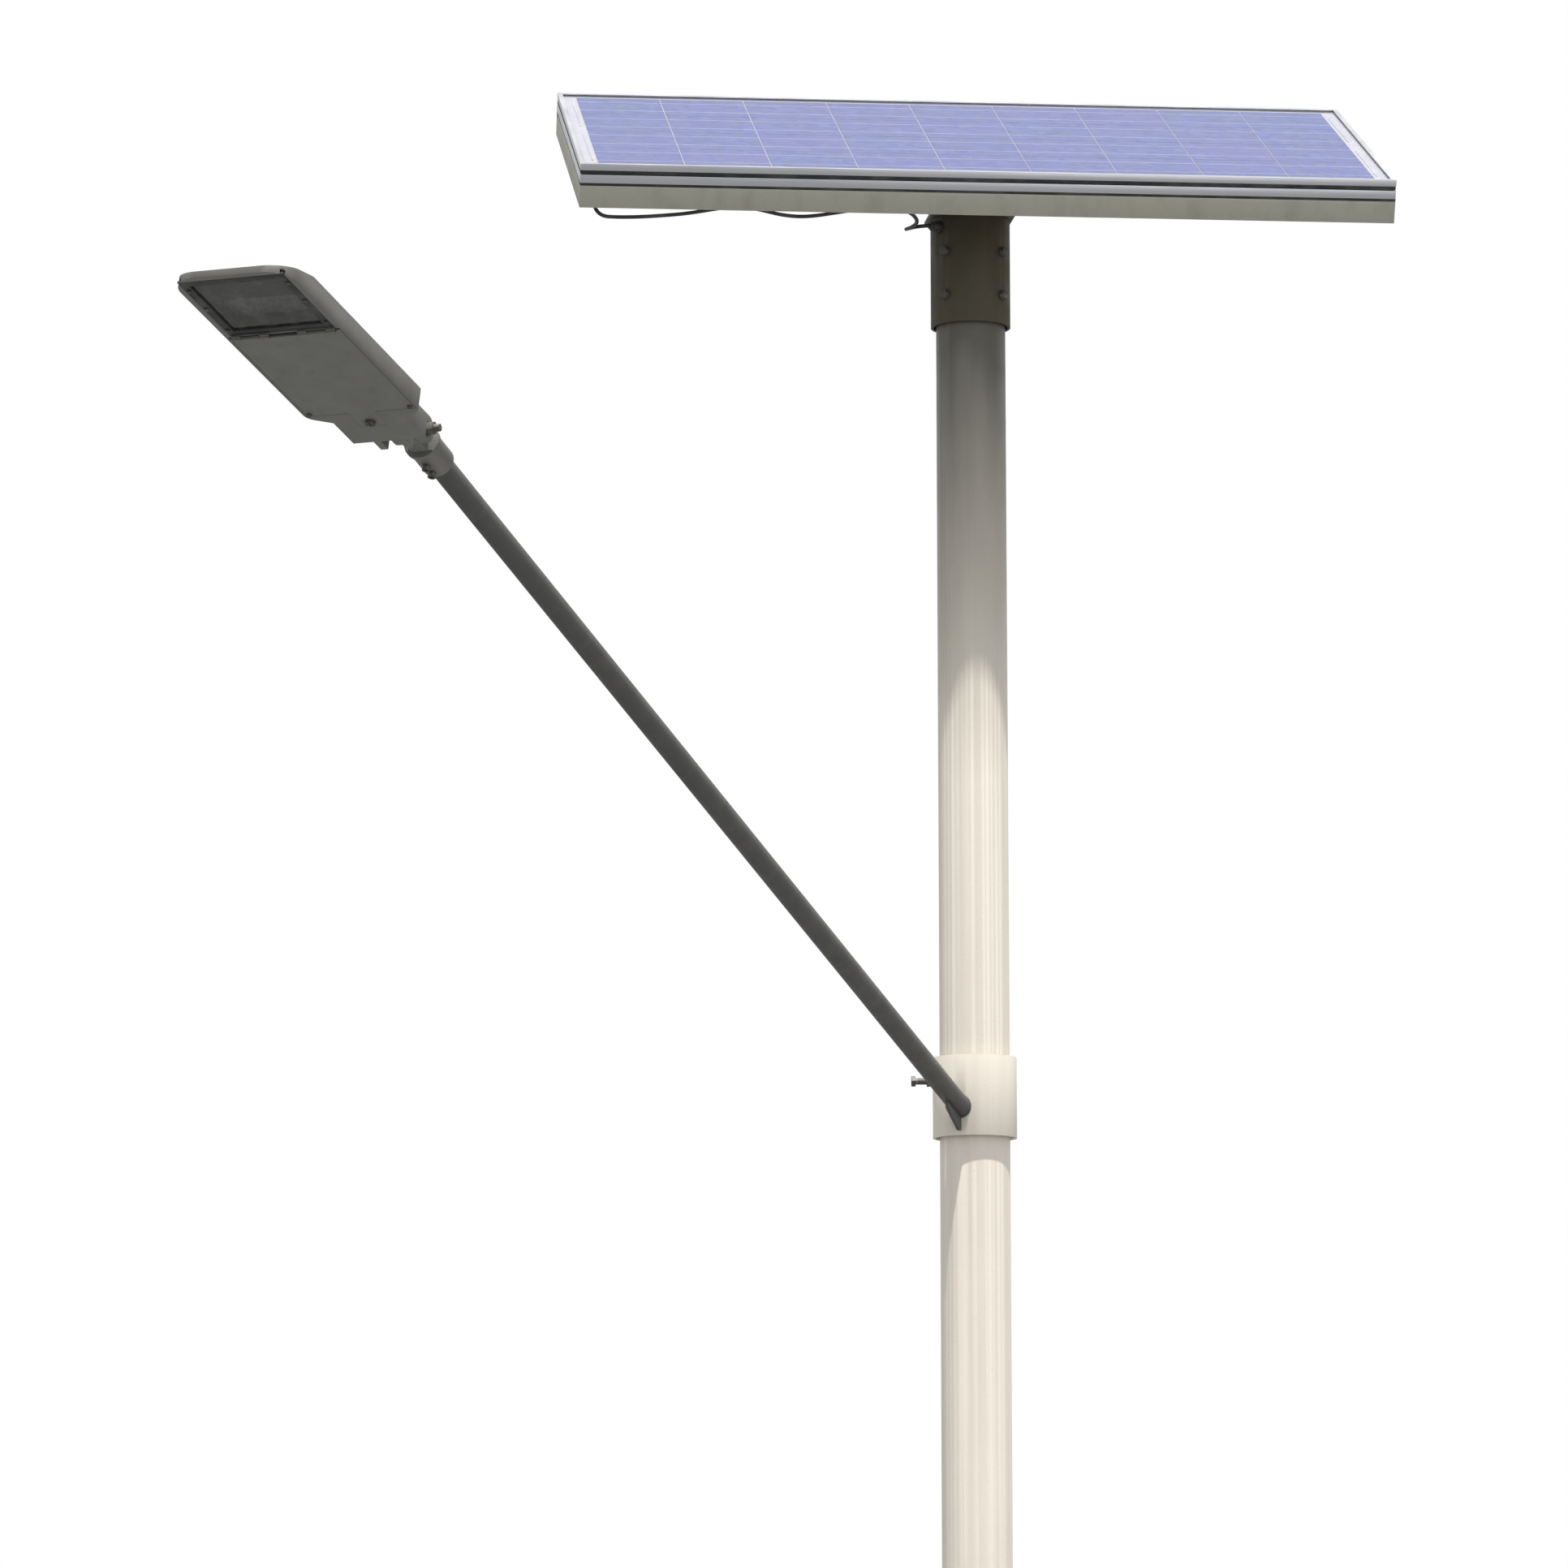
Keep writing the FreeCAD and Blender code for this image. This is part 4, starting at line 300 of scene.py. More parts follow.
def brushedMetal(name, colour, turn=(0, 0, 0), stretch=(2, 60, 60), roughness=0.34, lines=0.00008):
    # drawn or brushed metal: long fine lines along one way, with dull patches
    material, tree, shader, place = startMaterial(name)
    grain = noise(tree, turned(tree, place, turn, stretch), 14.0, 4, 0.7)
    patches = noise(tree, place, 9, 4)
    base = tint(tree, "MIX", spread(tree, grain, 0, 0.55), colour, darker(colour, 0.82))
    base = tint(tree, "MIX", spread(tree, patches, 0, 0.3), base, darker(colour, 0.8))
    link(tree, base, shader.inputs["Base Color"])
    shader.inputs["Metallic"].default_value = 1.0
    gloss = spread(tree, patches, roughness - 0.05, roughness + 0.14)
    link(tree, gloss, shader.inputs["Roughness"])
    bump(tree, shader, grain, lines, 0.6)
    return material


def zincPlate(name, colour, flake=70, roughness=0.40):
    # spangled zinc: crystal flakes, each a little lighter or darker
    material, tree, shader, place = startMaterial(name)
    flakes = addNode(tree, "ShaderNodeTexVoronoi")
    flakes.inputs["Scale"].default_value = flake
    link(tree, place, flakes.inputs["Vector"])
    grey = addNode(tree, "ShaderNodeSeparateColor")
    link(tree, flakes.outputs["Color"], grey.inputs[0])
    shade = spread(tree, grey.outputs[0], 0, 0.6, 0, 1)
    base = tint(tree, "MIX", shade, colour, darker(colour, 0.7))
    white = spread(tree, noise(tree, place, 40, 5), 0, 0.5, 0.58, 0.75)
    base = tint(tree, "MIX", white, base, (0.62, 0.61, 0.58))
    link(tree, base, shader.inputs["Base Color"])
    shader.inputs["Metallic"].default_value = 0.9
    link(tree, spread(tree, shade, roughness, roughness + 0.15, 0, 0.6), shader.inputs["Roughness"])
    bump(tree, shader, noise(tree, place, 300, 3), 0.0001, 0.5)
    return material


def moulded(name, colour, roughness=0.5, grain=420, depth=0.00015, fade=(0.25, 0.25, 0.25), fadeShare=0.25):
    # moulded plastic or rubber: fine spark texture and a chalky bloom from the sun
    material, tree, shader, place = startMaterial(name)
    bloom = spread(tree, noise(tree, place, 18, 5), 0, fadeShare, 0.45, 0.75)
    base = tint(tree, "MIX", bloom, colour, fade)
    link(tree, base, shader.inputs["Base Color"])
    gloss = spread(tree, noise(tree, place, 60, 3), roughness - 0.08, roughness + 0.1)
    link(tree, gloss, shader.inputs["Roughness"])
    bump(tree, shader, noise(tree, place, grain, 2), depth, 0.6)
    return material


def clearPane(name, colour, gloss=0.03, dust=0.10, turn=(0, 0, 0)):
    # toughened glass: reflects more at a flat angle, lets the rest through, with dust and dried rain
    material, tree, shader, place = startMaterial(name)
    tree.nodes.remove(shader)
    out = tree.nodes["Material Output"]
    clear = addNode(tree, "ShaderNodeBsdfTransparent")
    clear.inputs["Color"].default_value = colour + (1,)
    shine = addNode(tree, "ShaderNodeBsdfGlossy")
    shine.inputs["Roughness"].default_value = gloss
    edge = addNode(tree, "ShaderNodeFresnel")
    edge.inputs["IOR"].default_value = 1.5
    # only the outer faces mirror; light leaving the pane passes straight on
    side = addNode(tree, "ShaderNodeNewGeometry")
    outer = combine(tree, "SUBTRACT", 1.0, side.outputs["Backfacing"])
    pane = addNode(tree, "ShaderNodeMixShader")
    link(tree, combine(tree, "MULTIPLY", edge.outputs[0], outer), pane.inputs[0])
    link(tree, clear.outputs[0], pane.inputs[1])
    link(tree, shine.outputs[0], pane.inputs[2])
    film = addNode(tree, "ShaderNodeBsdfDiffuse")
    film.inputs["Color"].default_value = (0.62, 0.60, 0.55, 1)
    marks = noise(tree, turned(tree, place, turn, (5, 14, 14)), 2.0, 6, 0.65)
    spots = noise(tree, place, 90, 3)
    amount = combine(tree, "MULTIPLY", spread(tree, marks, 0.2, 1.0), spread(tree, spots, 0.4, 1.0))
    amount = combine(tree, "MULTIPLY", amount, dust)
    dusty = addNode(tree, "ShaderNodeMixShader")
    link(tree, amount, dusty.inputs[0])
    link(tree, pane.outputs[0], dusty.inputs[1])
    link(tree, film.outputs[0], dusty.inputs[2])
    link(tree, dusty.outputs[0], out.inputs[0])
    return material


def siliconCell(name, turn):
    # polycrystalline silicon: blue grains of many shades, one tone a little apart from cell to cell
    material, tree, shader, place = startMaterial(name)
    flat = turned(tree, place, turn)
    grains = addNode(tree, "ShaderNodeTexVoronoi")
    grains.inputs["Scale"].default_value = 55
    link(tree, flat, grains.inputs["Vector"])
    small = addNode(tree, "ShaderNodeTexVoronoi")
    small.inputs["Scale"].default_value = 170
    link(tree, flat, small.inputs["Vector"])
    large = addNode(tree, "ShaderNodeSeparateColor")
    link(tree, grains.outputs["Color"], large.inputs[0])
    fine = addNode(tree, "ShaderNodeSeparateColor")
    link(tree, small.outputs["Color"], fine.inputs[0])
    base = tint(tree, "MIX", large.outputs[0], (0.006, 0.026, 0.20), (0.018, 0.062, 0.36))
    base = tint(tree, "MIX", combine(tree, "MULTIPLY", fine.outputs[1], 0.5), base, (0.008, 0.040, 0.27))
    tone = addNode(tree, "ShaderNodeAttribute", attribute_name="cellTone")
    shift = spread(tree, tone.outputs["Fac"], 0, 0.55, 0, 1)
    base = tint(tree, "MIX", shift, base, (0.034, 0.036, 0.30))
    link(tree, base, shader.inputs["Base Color"])
    link(tree, spread(tree, large.outputs[1], 0.28, 0.45, 0, 1), shader.inputs["Roughness"])
    shader.inputs["Specular IOR Level"].default_value = 0.15
    bump(tree, shader, fine.outputs[0], 0.00005, 0.4)
    return material


cream = (0.80, 0.745, 0.66)
# painted shade: the pole's cream darkens towards its top, where the module above shades it
paintedModuleShade = {"low": 3.60, "high": 4.40, "share": 0.90, "colour": (0.06, 0.058, 0.044)}   # under the module
panelTurn = (math.radians(24.2), 0, 0)
headTurn = tuple(headPlace.to_euler())
finishes = {
    "pole_paint": powderCoat("polePaint", cream, (0.50, 0.47, 0.40), 0.40, dirtShare=0.22, paintedShade=paintedModuleShade),
    "sleeve_paint": powderCoat("sleevePaint", (0.070, 0.060, 0.034), (0.12, 0.09, 0.05), 0.55),
    "arm_paint": powderCoat("armPaint", (0.085, 0.085, 0.081), (0.14, 0.13, 0.11), 0.5),
    # head paint with painted shade on its upright walls
    "head_paint": powderCoat("headPaint", (0.22, 0.217, 0.205), (0.15, 0.145, 0.125), 0.55, 0.00018,
                             paintedSideShade=0.55),
    "zinc_steel": zincPlate("zincSteel", (0.60, 0.60, 0.59)),
    "frame_alu": brushedMetal("frameAnodised", (0.70, 0.71, 0.76), panelTurn, (2, 60, 60), 0.36),
    "rail_steel": powderCoat("railPaint", (0.42, 0.41, 0.345), (0.24, 0.23, 0.18), 0.5, dirtShare=0.3),
    "module_glass": clearPane("moduleGlass", (0.97, 0.985, 1.0), 0.04, 0.05, turn=panelTurn),
    "lamp_glass": clearPane("lampGlass", (0.72, 0.73, 0.72), 0.06, 0.30, turn=headTurn),
    "cell_blue": siliconCell("siliconCell", panelTurn),
    "back_white": moulded("backSheet", (0.50, 0.48, 0.55), 0.45, 200, 0.00004, (0.66, 0.64, 0.58), 0.4),
    "black_plastic": moulded("blackPlastic", (0.028, 0.028, 0.03), 0.48),
    "black_rubber": moulded("blackRubber", (0.022, 0.022, 0.022), 0.68, 260, 0.0002),
    "cable_black": moulded("cableSheath", (0.026, 0.026, 0.027), 0.52, 600, 0.0001),
    "board_white": moulded("solderMask", (0.74, 0.75, 0.73), 0.35, 300, 0.00004, (0.55, 0.54, 0.5), 0.3),
    "led_yellow": moulded("phosphor", (0.85, 0.66, 0.16), 0.4, 800, 0.00005, (0.9, 0.8, 0.4), 0.3),
    "lens_clear": clearPane("clearLens", (0.93, 0.94, 0.95), 0.05, 0.05),
    "battery_wrap": moulded("batteryWrap", (0.02, 0.09, 0.26), 0.35, 90, 0.0003, (0.05, 0.14, 0.34), 0.4),
    "zinc_dark": zincPlate("weatheredZinc", (0.16, 0.155, 0.14), 90, 0.55),
    "silver_line": brushedMetal("silverLine", (0.80, 0.81, 0.84), panelTurn, (4, 4, 4), 0.38),
    "driver_case": brushedMetal("driverCase", (0.70, 0.71, 0.70), headTurn, (3, 50, 50), 0.38),
}
print("materials made:", len(finishes))

# CAD pieces: each copy is merged, its sharp edges are eased, and it is shaded smooth

slotOf = {part["node"]: part["material_slot"] for part in frame["record"]["subparts"]}
bodyOf = {node: body for body, nodes in bodies.items() for node in nodes}
easing = {
    "usual": 0.0005,       # metres; the other lines are nodes with edges of their own
    "pole_tube": 0.0008, "base_flange": 0.002, "base_gussets": 0.0012, "access_door": 0.0006,
    "top_sleeve": 0.0008, "sleeve_plate": 0.001, "tilt_lugs": 0.001, "arm_collar": 0.0008,
    "arm_gusset": 0.001, "head_housing": 0.0009, "gear_cover": 0.0006, "module_frame_sides": 0.0004,
    "module_frame_ends": 0.0004, "rail_front": 0.0008, "rail_rear": 0.0008, "end_rails": 0.0008,
    "cross_members": 0.0008, "junction_box": 0.001, "junction_lid": 0.001,
}
sharpTurn = math.radians(34)   # a sharper turn than this between two faces is an edge
mergeGap = 0.00001
weldedEnds = {"pole_tube": (0.900, 1.880, 2.879, 3.660)}   # where its lengths of tube meet
keptSharp = {"module_glass", "lamp_glass", "back_sheet", "module_seal", "glass_seal"}
madeHere = {"solar_cells", "led_chips", "lens_plate", "cable_loop", "module_cable", "lamp_cable"}


def placePiece(name, mesh, body, slotName, node=None, material=None):
    mesh.name = name
    piece = bpy.data.objects.new(name, mesh)
    bpy.context.scene.collection.objects.link(piece)
    mesh.materials.clear()
    mesh.materials.append(material or finishes[slotName])
    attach(piece, body)
    if node:
        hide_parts(node)
    return piece


def easedCopy(node, width):
    mesh = frame["nodes"][node].data.copy()
    shape = bmesh.new()
    shape.from_mesh(mesh)
    bmesh.ops.remove_doubles(shape, verts=shape.verts, dist=mergeGap)
    if node in weldedEnds:
        # the doubled walls where two lengths meet are taken out
        ends = [face for face in shape.faces if abs(face.normal.z) > 0.99
                and any(abs(face.calc_center_median().z - height) < 0.0001 for height in weldedEnds[node])]
        bmesh.ops.delete(shape, geom=ends, context="FACES")
    bmesh.ops.dissolve_limit(shape, angle_limit=math.radians(0.4), verts=shape.verts, edges=shape.edges)
    sharp = [edge for edge in shape.edges
             if len(edge.link_faces) == 2 and edge.calc_face_angle(0) > sharpTurn]
    if width and sharp:
        bmesh.ops.bevel(shape, geom=sharp, offset=width, offset_type="OFFSET", segments=2, profile=0.5,
                        affect="EDGES", clamp_overlap=True)
    for face in shape.faces:
        face.smooth = True
    for edge in shape.edges:
        edge.smooth = len(edge.link_faces) == 2 and edge.calc_face_angle(0) < sharpTurn
    shape.to_mesh(mesh)
    shape.free()
    return mesh


darkFasteners = {"sleeve_bolts", "knuckle_bolt", "spigot_screws", "cover_screws", "bezel_screws",
                 "pivot_bolt", "jack_screws", "cover_hinge_pin", "tilt_bolts"}
for node in frame["nodes"]:
    if node in madeHere:
        continue
    width = 0 if node in keptSharp else easing.get(node, easing["usual"])
    special = finishes["zinc_dark"] if node in darkFasteners else None
    placePiece(node + "_eased", easedCopy(node, width), bodyOf[node], slotOf[node], node, special)
print("CAD pieces eased")

# Geometry Nodes helpers: a tree with named inputs, and its result as a plain mesh


def startTree(name, inputs, takesShape=False):
    tree = bpy.data.node_groups.new(name, "GeometryNodeTree")
    if takesShape:
        tree.interface.new_socket("Shape", in_out="INPUT", socket_type="NodeSocketGeometry")
    for label, setting in inputs.items():
        kind = {int: "Int", float: "Float", tuple: "Vector"}.get(type(setting), "Material")
        socket = tree.interface.new_socket(label, in_out="INPUT", socket_type="NodeSocket" + kind)
        if kind != "Material":
            socket.default_value = setting
    tree.interface.new_socket("Result", in_out="OUTPUT", socket_type="NodeSocketGeometry")
    return tree, addNode(tree, "NodeGroupInput"), addNode(tree, "NodeGroupOutput")


def feed(tree, node, **sources):
    for name, source in sources.items():
        socket = node.inputs[name.replace("_", " ")]
        if isinstance(source, bpy.types.NodeSocket):
            link(tree, source, socket)
        else:
            socket.default_value = source
    return node


def endTree(tree, given, done, shape):
    real = addNode(tree, "GeometryNodeRealizeInstances")
    paint = addNode(tree, "GeometryNodeSetMaterial")
    link(tree, shape, real.inputs[0])
    link(tree, real.outputs[0], paint.inputs["Geometry"])
    link(tree, given.outputs["Finish"], paint.inputs["Material"])
    link(tree, paint.outputs[0], done.inputs[0])


def spanOf(tree, count, pitch):
    # from the middle of the first item in a row to the middle of the last
    return combine(tree, "MULTIPLY", combine(tree, "SUBTRACT", count, 1), pitch)


def grow(tree, settings, points=((0, 0, 0),), edges=()):
    base = bpy.data.meshes.new("seed")
    base.from_pydata([tuple(point) for point in points], list(edges), [])
    holder = bpy.data.objects.new("seed", base)
    bpy.context.scene.collection.objects.link(holder)
    modifier = holder.modifiers.new("nodes", "NODES")
    modifier.node_group = tree
    for item in tree.interface.items_tree:
        if item.in_out == "INPUT" and item.name in settings:
            modifier[item.identifier] = settings[item.name]
    graph = bpy.context.evaluated_depsgraph_get()
    mesh = bpy.data.meshes.new_from_object(holder.evaluated_get(graph), depsgraph=graph)
    holder.modifiers.clear()
    bpy.data.objects.remove(holder)
    return mesh


def shadeSmooth(mesh):
    mesh.shade_smooth()
    mesh.set_sharp_from_angle(angle=sharpTurn)
    return mesh


def finished(name, mesh, body, slotName, place=None, nodes=()):
    if place:
        mesh.transform(place)
    shadeSmooth(mesh)
    piece = placePiece(name, mesh, body, slotName)
    if nodes:
        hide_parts(*nodes)
    return piece


# solar cells: a grid of square cells, each with a tone of its own

cellSetup = {
    "Columns": 9,
    "Rows": 4,
    "Side": 0.155,
    "Gap": 0.002,
    "Thick": 0.00025,
    "Level": -0.0052,
    "Seed": 7,
}


def cellTree(setup):
    tree, given, done = startTree("cellGrid", {**setup, "Finish": None})
    pitch = combine(tree, "ADD", given.outputs["Side"], given.outputs["Gap"])
    spans = [spanOf(tree, given.outputs[count], pitch) for count in ("Columns", "Rows")]
    grid = feed(tree, addNode(tree, "GeometryNodeMeshGrid"), Size_X=spans[0], Size_Y=spans[1],
                Vertices_X=given.outputs["Columns"], Vertices_Y=given.outputs["Rows"])
    size = feed(tree, addNode(tree, "ShaderNodeCombineXYZ"), X=given.outputs["Side"], Y=given.outputs["Side"],
                Z=given.outputs["Thick"])
    cell = feed(tree, addNode(tree, "GeometryNodeMeshCube"), Size=size.outputs[0])
    spot = feed(tree, addNode(tree, "GeometryNodeInstanceOnPoints"), Points=grid.outputs["Mesh"],
                Instance=cell.outputs["Mesh"])
    tone = feed(tree, addNode(tree, "FunctionNodeRandomValue", data_type="FLOAT"), Seed=given.outputs["Seed"])
    keep = addNode(tree, "GeometryNodeStoreNamedAttribute", data_type="FLOAT", domain="INSTANCE")
    keep.inputs["Name"].default_value = "cellTone"
    link(tree, spot.outputs[0], keep.inputs["Geometry"])
    link(tree, tone.outputs[1], keep.inputs["Value"])
    lift = feed(tree, addNode(tree, "ShaderNodeCombineXYZ"), Z=given.outputs["Level"])
    lifted = feed(tree, addNode(tree, "GeometryNodeTransform"), Translation=lift.outputs[0])
    link(tree, keep.outputs[0], lifted.inputs["Geometry"])
    endTree(tree, given, done, lifted.outputs[0])
    return tree


# silver lines on the cells: fine fingers, two busbars along each row, and ribbons at the ends

fingerSetup = {
    "Count": 27,
    "Spacing": 0.0055,
    "Length": 0.150,
    "Width": 0.00013,
    "Height": 0.00006,
}
busbarSetup = {
    "Count": 2,
    "Spacing": 0.078,
    "Length": 0.1565,
    "Width": 0.0019,
    "Height": 0.00012,
}
ribbonSetup = {
    "Count": 1,
    "Spacing": 0.0,
    "Length": 0.003,
    "Width": 0.235,
    "Height": 0.0002,
}
ribbonAcross = 0.7145
cellPitch = cellSetup["Side"] + cellSetup["Gap"]
cellTop = cellSetup["Level"] + cellSetup["Thick"] / 2


def lineTree():
    # a row of thin bars, one row for each point it is given
    tree, given, done = startTree("lineRow", {**fingerSetup, "Finish": None}, takesShape=True)
    span = spanOf(tree, given.outputs["Count"], given.outputs["Spacing"])
    start = feed(tree, addNode(tree, "ShaderNodeCombineXYZ"), Y=combine(tree, "MULTIPLY", span, -0.5))
    step = feed(tree, addNode(tree, "ShaderNodeCombineXYZ"), Y=given.outputs["Spacing"])
    row = addNode(tree, "GeometryNodeMeshLine", mode="OFFSET")
    link(tree, given.outputs["Count"], row.inputs["Count"])
    link(tree, start.outputs[0], row.inputs["Start Location"])
    link(tree, step.outputs[0], row.inputs["Offset"])
    size = feed(tree, addNode(tree, "ShaderNodeCombineXYZ"), X=given.outputs["Length"],
                Y=given.outputs["Width"], Z=given.outputs["Height"])
    bar = feed(tree, addNode(tree, "GeometryNodeMeshCube"), Size=size.outputs[0])
    bars = feed(tree, addNode(tree, "GeometryNodeInstanceOnPoints"), Points=row.outputs[0],
                Instance=bar.outputs["Mesh"])
    rows = feed(tree, addNode(tree, "GeometryNodeInstanceOnPoints"), Points=given.outputs["Shape"],
                Instance=bars.outputs[0])
    endTree(tree, given, done, rows.outputs[0])
    return tree


def cellCentres(level):
    across, along = cellSetup["Columns"], cellSetup["Rows"]
    return [((column - (across - 1) / 2) * cellPitch, (row - (along - 1) / 2) * cellPitch, level)
            for column in range(across) for row in range(along)]


cellMesh = grow(cellTree(cellSetup), {**cellSetup, "Finish": finishes["cell_blue"]})
finished("solar_cell_grid", cellMesh, "panel", "cell_blue", panelPlace, ["solar_cells"])
ribbonSpots = [(side * ribbonAcross, up * cellPitch, cellTop - 0.0001) for side in (-1, 1) for up in (-1, 1)]
lines = lineTree()
for name, setup, spots in (
    ("cell_fingers", fingerSetup, cellCentres(cellTop + 0.00003)),
    ("cell_busbars", busbarSetup, cellCentres(cellTop + 0.00008)),
    ("end_ribbons", ribbonSetup, ribbonSpots),
):
    silver = grow(lines, {**setup, "Finish": finishes["silver_line"]}, spots)
    finished(name, silver, "panel", "silver_line", panelPlace)
print("cells and their silver lines made")

# lamp optics: a grid of light sources, each a white package with a phosphor disc under its own lens

opticSetup = {
    "Columns": 4,
    "Rows": 6,
    "Pitch X": 0.022,
    "Pitch Y": 0.022,
    "Radius": 0.0086,
    "Height": 0.0058,
    "Level": 0.0,
}


def opticTree(kind):
    tree, given, done = startTree(kind + "Grid", {**opticSetup, "Finish": None})
    spans = [spanOf(tree, given.outputs[count], given.outputs[pitch])
             for count, pitch in (("Columns", "Pitch X"), ("Rows", "Pitch Y"))]
    grid = feed(tree, addNode(tree, "GeometryNodeMeshGrid"), Size_X=spans[0], Size_Y=spans[1],
                Vertices_X=given.outputs["Columns"], Vertices_Y=given.outputs["Rows"])
    size = feed(tree, addNode(tree, "ShaderNodeCombineXYZ"), X=given.outputs["Radius"],
                Y=given.outputs["Radius"], Z=given.outputs["Height"])
    if kind == "lens":
        part = feed(tree, addNode(tree, "GeometryNodeMeshUVSphere"), Segments=16, Rings=8, Radius=1.0)
    elif kind == "phosphor":
        part = feed(tree, addNode(tree, "GeometryNodeMeshCylinder"), Vertices=12, Radius=1.0, Depth=1.0)
    else:
        part = feed(tree, addNode(tree, "GeometryNodeMeshCube"))
    spot = feed(tree, addNode(tree, "GeometryNodeInstanceOnPoints"), Points=grid.outputs["Mesh"],
                Instance=part.outputs["Mesh"], Scale=size.outputs[0])
    lift = feed(tree, addNode(tree, "ShaderNodeCombineXYZ"), Z=given.outputs["Level"])
    moved = feed(tree, addNode(tree, "GeometryNodeTransform"), Translation=lift.outputs[0])
    link(tree, spot.outputs[0], moved.inputs[0])
    endTree(tree, given, done, moved.outputs[0])
    return tree


# the middle of the board's lower face, in the head's own frame
opticPlace = headPlace @ Matrix.Translation((0.510, 0, -0.0246))
opticParts = (
    ("lens_domes", "lens", "lens_clear", {"Level": -0.0044}, ["lens_plate"]),
    ("led_packages", "package", "board_white",
     {"Radius": 0.0035, "Height": 0.0010, "Level": -0.0005}, ["led_chips"]),
    ("led_phosphor", "phosphor", "led_yellow", {"Radius": 0.0013, "Height": 0.0004, "Level": -0.0011}, []),
)
for name, kind, slotName, change, nodes in opticParts:
    optic = grow(opticTree(kind), {**opticSetup, **change, "Finish": finishes[slotName]})
    finished(name, optic, "head", slotName, opticPlace, nodes)
print("lamp optics made")

# cables: one smooth line through each route's points


def cableMesh(route, diameter):
    data = bpy.data.curves.new("route", "CURVE")
    data.dimensions = "3D"
    data.bevel_depth = diameter / 2
    data.bevel_resolution = 3
    data.resolution_u = 6
    data.use_fill_caps = True
    line = data.splines.new("NURBS")
    line.points.add(len(route) - 1)
    for point, spot in zip(line.points, route):
        point.co = (*spot, 1)
    line.order_u = 3
    line.use_endpoint_u = True
    holder = bpy.data.objects.new("route", data)
    bpy.context.scene.collection.objects.link(holder)
    graph = bpy.context.evaluated_depsgraph_get()
    mesh = bpy.data.meshes.new_from_object(holder.evaluated_get(graph), depsgraph=graph)
    bpy.data.objects.remove(holder)
    return mesh


def scaled(place, route):
    return [place @ Vector([amount / 1000 for amount in spot]) for spot in route]


cableSetup = {
    "moduleCable": 0.007,    # diameters
    "lampLead": 0.008,
}
moduleRoute = scaled(panelPlace, [
    (-640, -247, -17.8), (-641, -265, -19), (-644, -281, -28), (-655, -289, -44), (-678, -297, -50.5),
    (-698, -304, -51), (-712, -311, -64), (-712, -317, -84), (-698, -321, -98), (-672, -322, -99),
    (-632, -322, -98), (-585, -323, -94), (-542, -322, -89.5), (-500, -322.5, -81.5), (-457, -322.5, -74),
    (-415, -322.5, -79.5), (-372, -322, -90), (-328, -323, -92), (-270, -322.5, -82), (-226, -322.5, -74),
    (-198, -322.5, -72)])
loopRoute = scaled(panelPlace, [(-198, -322.5, -72), (-170, -322.5, -70)]) + scaled(Matrix(), [
    (-138, -251, 4457), (-121, -216, 4449), (-127, -176, 4447), (-136, -136, 4451), (-127, -98, 4461),
    (-105, -65.6, 4473), (-80.6, -50.3, 4478)])
leadRoute = scaled(armPlace, [(86, 0, 2), (160, 0, -8), (240, 0, -11), (2447, 0, -11)])
finished("module_lead", cableMesh(moduleRoute, cableSetup["moduleCable"]), "panel", "cable_black",
         nodes=["module_cable"])
loopMesh = shadeSmooth(cableMesh(loopRoute, cableSetup["moduleCable"]))
loopMesh.name = "slack_loop"
slackLoop = bpy.data.objects.new("slack_loop", loopMesh)
bpy.context.scene.collection.objects.link(slackLoop)
loopMesh.materials.append(finishes["cable_black"])
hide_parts("cable_loop")
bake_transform(slackLoop)
finished("lamp_lead", cableMesh(leadRoute, cableSetup["lampLead"]), "arm", "cable_black",
         nodes=["lamp_cable"])
print("cables made")

# weld beads: overlapping scales laid along each seam

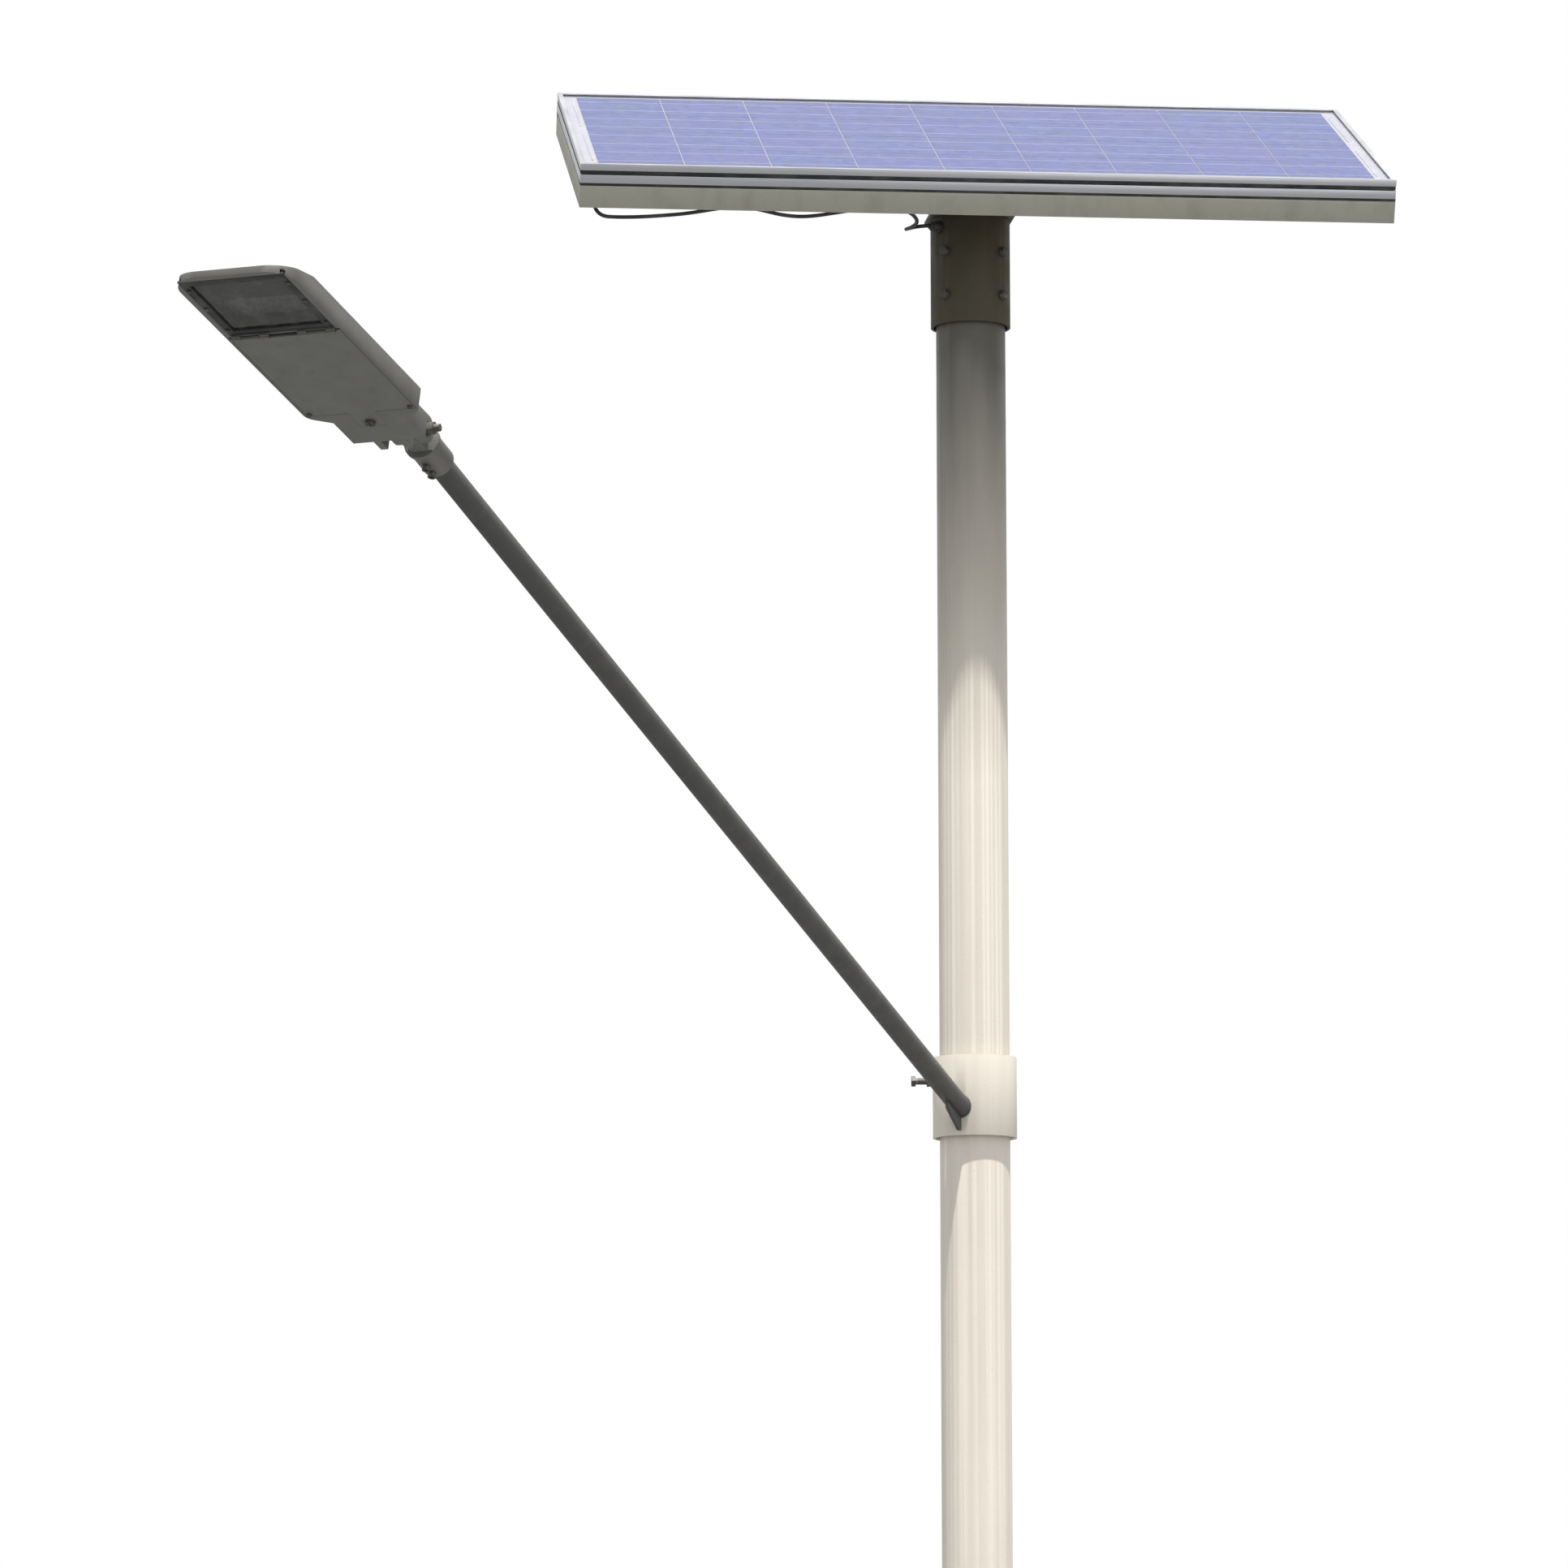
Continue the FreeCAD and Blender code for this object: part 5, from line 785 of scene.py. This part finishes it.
weldSetup = {
    "Pitch": 0.0026,
    "Width": 0.0034,
    "Length": 0.0030,
}
armWeldSetup = {
    "Pitch": 0.002,
    "Width": 0.0022,
    "Length": 0.0021,
}
poleRadius = 0.0635
flangeTop = 0.0165
collarRadius = 0.076
armRadius = 0.0190


def weldTree():
    tree, given, done = startTree("weldBead", {**weldSetup, "Finish": None}, takesShape=True)
    curve = feed(tree, addNode(tree, "GeometryNodeMeshToCurve"), Mesh=given.outputs["Shape"])
    beads = addNode(tree, "GeometryNodeCurveToPoints", mode="LENGTH")
    link(tree, curve.outputs[0], beads.inputs["Curve"])
    link(tree, given.outputs["Pitch"], beads.inputs["Length"])
    ball = feed(tree, addNode(tree, "GeometryNodeMeshIcoSphere"), Radius=1.0, Subdivisions=2)
    size = feed(tree, addNode(tree, "ShaderNodeCombineXYZ"), X=given.outputs["Width"],
                Y=given.outputs["Width"], Z=given.outputs["Length"])
    scales = feed(tree, addNode(tree, "GeometryNodeInstanceOnPoints"), Points=beads.outputs["Points"],
                  Instance=ball.outputs["Mesh"], Rotation=beads.outputs["Rotation"], Scale=size.outputs[0])
    endTree(tree, given, done, scales.outputs[0])
    return tree


def circle(radius, count):
    turns = [2 * math.pi * step / count for step in range(count)]
    return [(radius * math.cos(turn), radius * math.sin(turn)) for turn in turns]


def ontoCollar(point):
    # carries a point along the arm until it meets the collar's round wall
    along = armPlace.to_3x3() @ Vector((1, 0, 0))
    flat = Vector((along.x, along.y))
    spot = Vector((point.x, point.y))
    reach = flat.dot(spot)
    room = reach ** 2 - flat.length_squared * (spot.length_squared - collarRadius ** 2)
    return point + along * ((math.sqrt(room) - reach) / flat.length_squared)


flangeSeam = [(across, up, flangeTop) for across, up in circle(poleRadius, 64)]
armSeam = [ontoCollar(armPlace @ Vector((0.0715, across, up))) for across, up in circle(armRadius, 32)]
beads = weldTree()
for name, body, slotName, seam, setup in (
    ("weld_flange", "pole", "pole_paint", flangeSeam, weldSetup),
    ("weld_arm_root", "arm", "arm_paint", armSeam, armWeldSetup),
):
    closed = [(step, (step + 1) % len(seam)) for step in range(len(seam))]
    finished(name, grow(beads, {**setup, "Finish": finishes[slotName]}, seam, closed), body, slotName)
print("welds made")
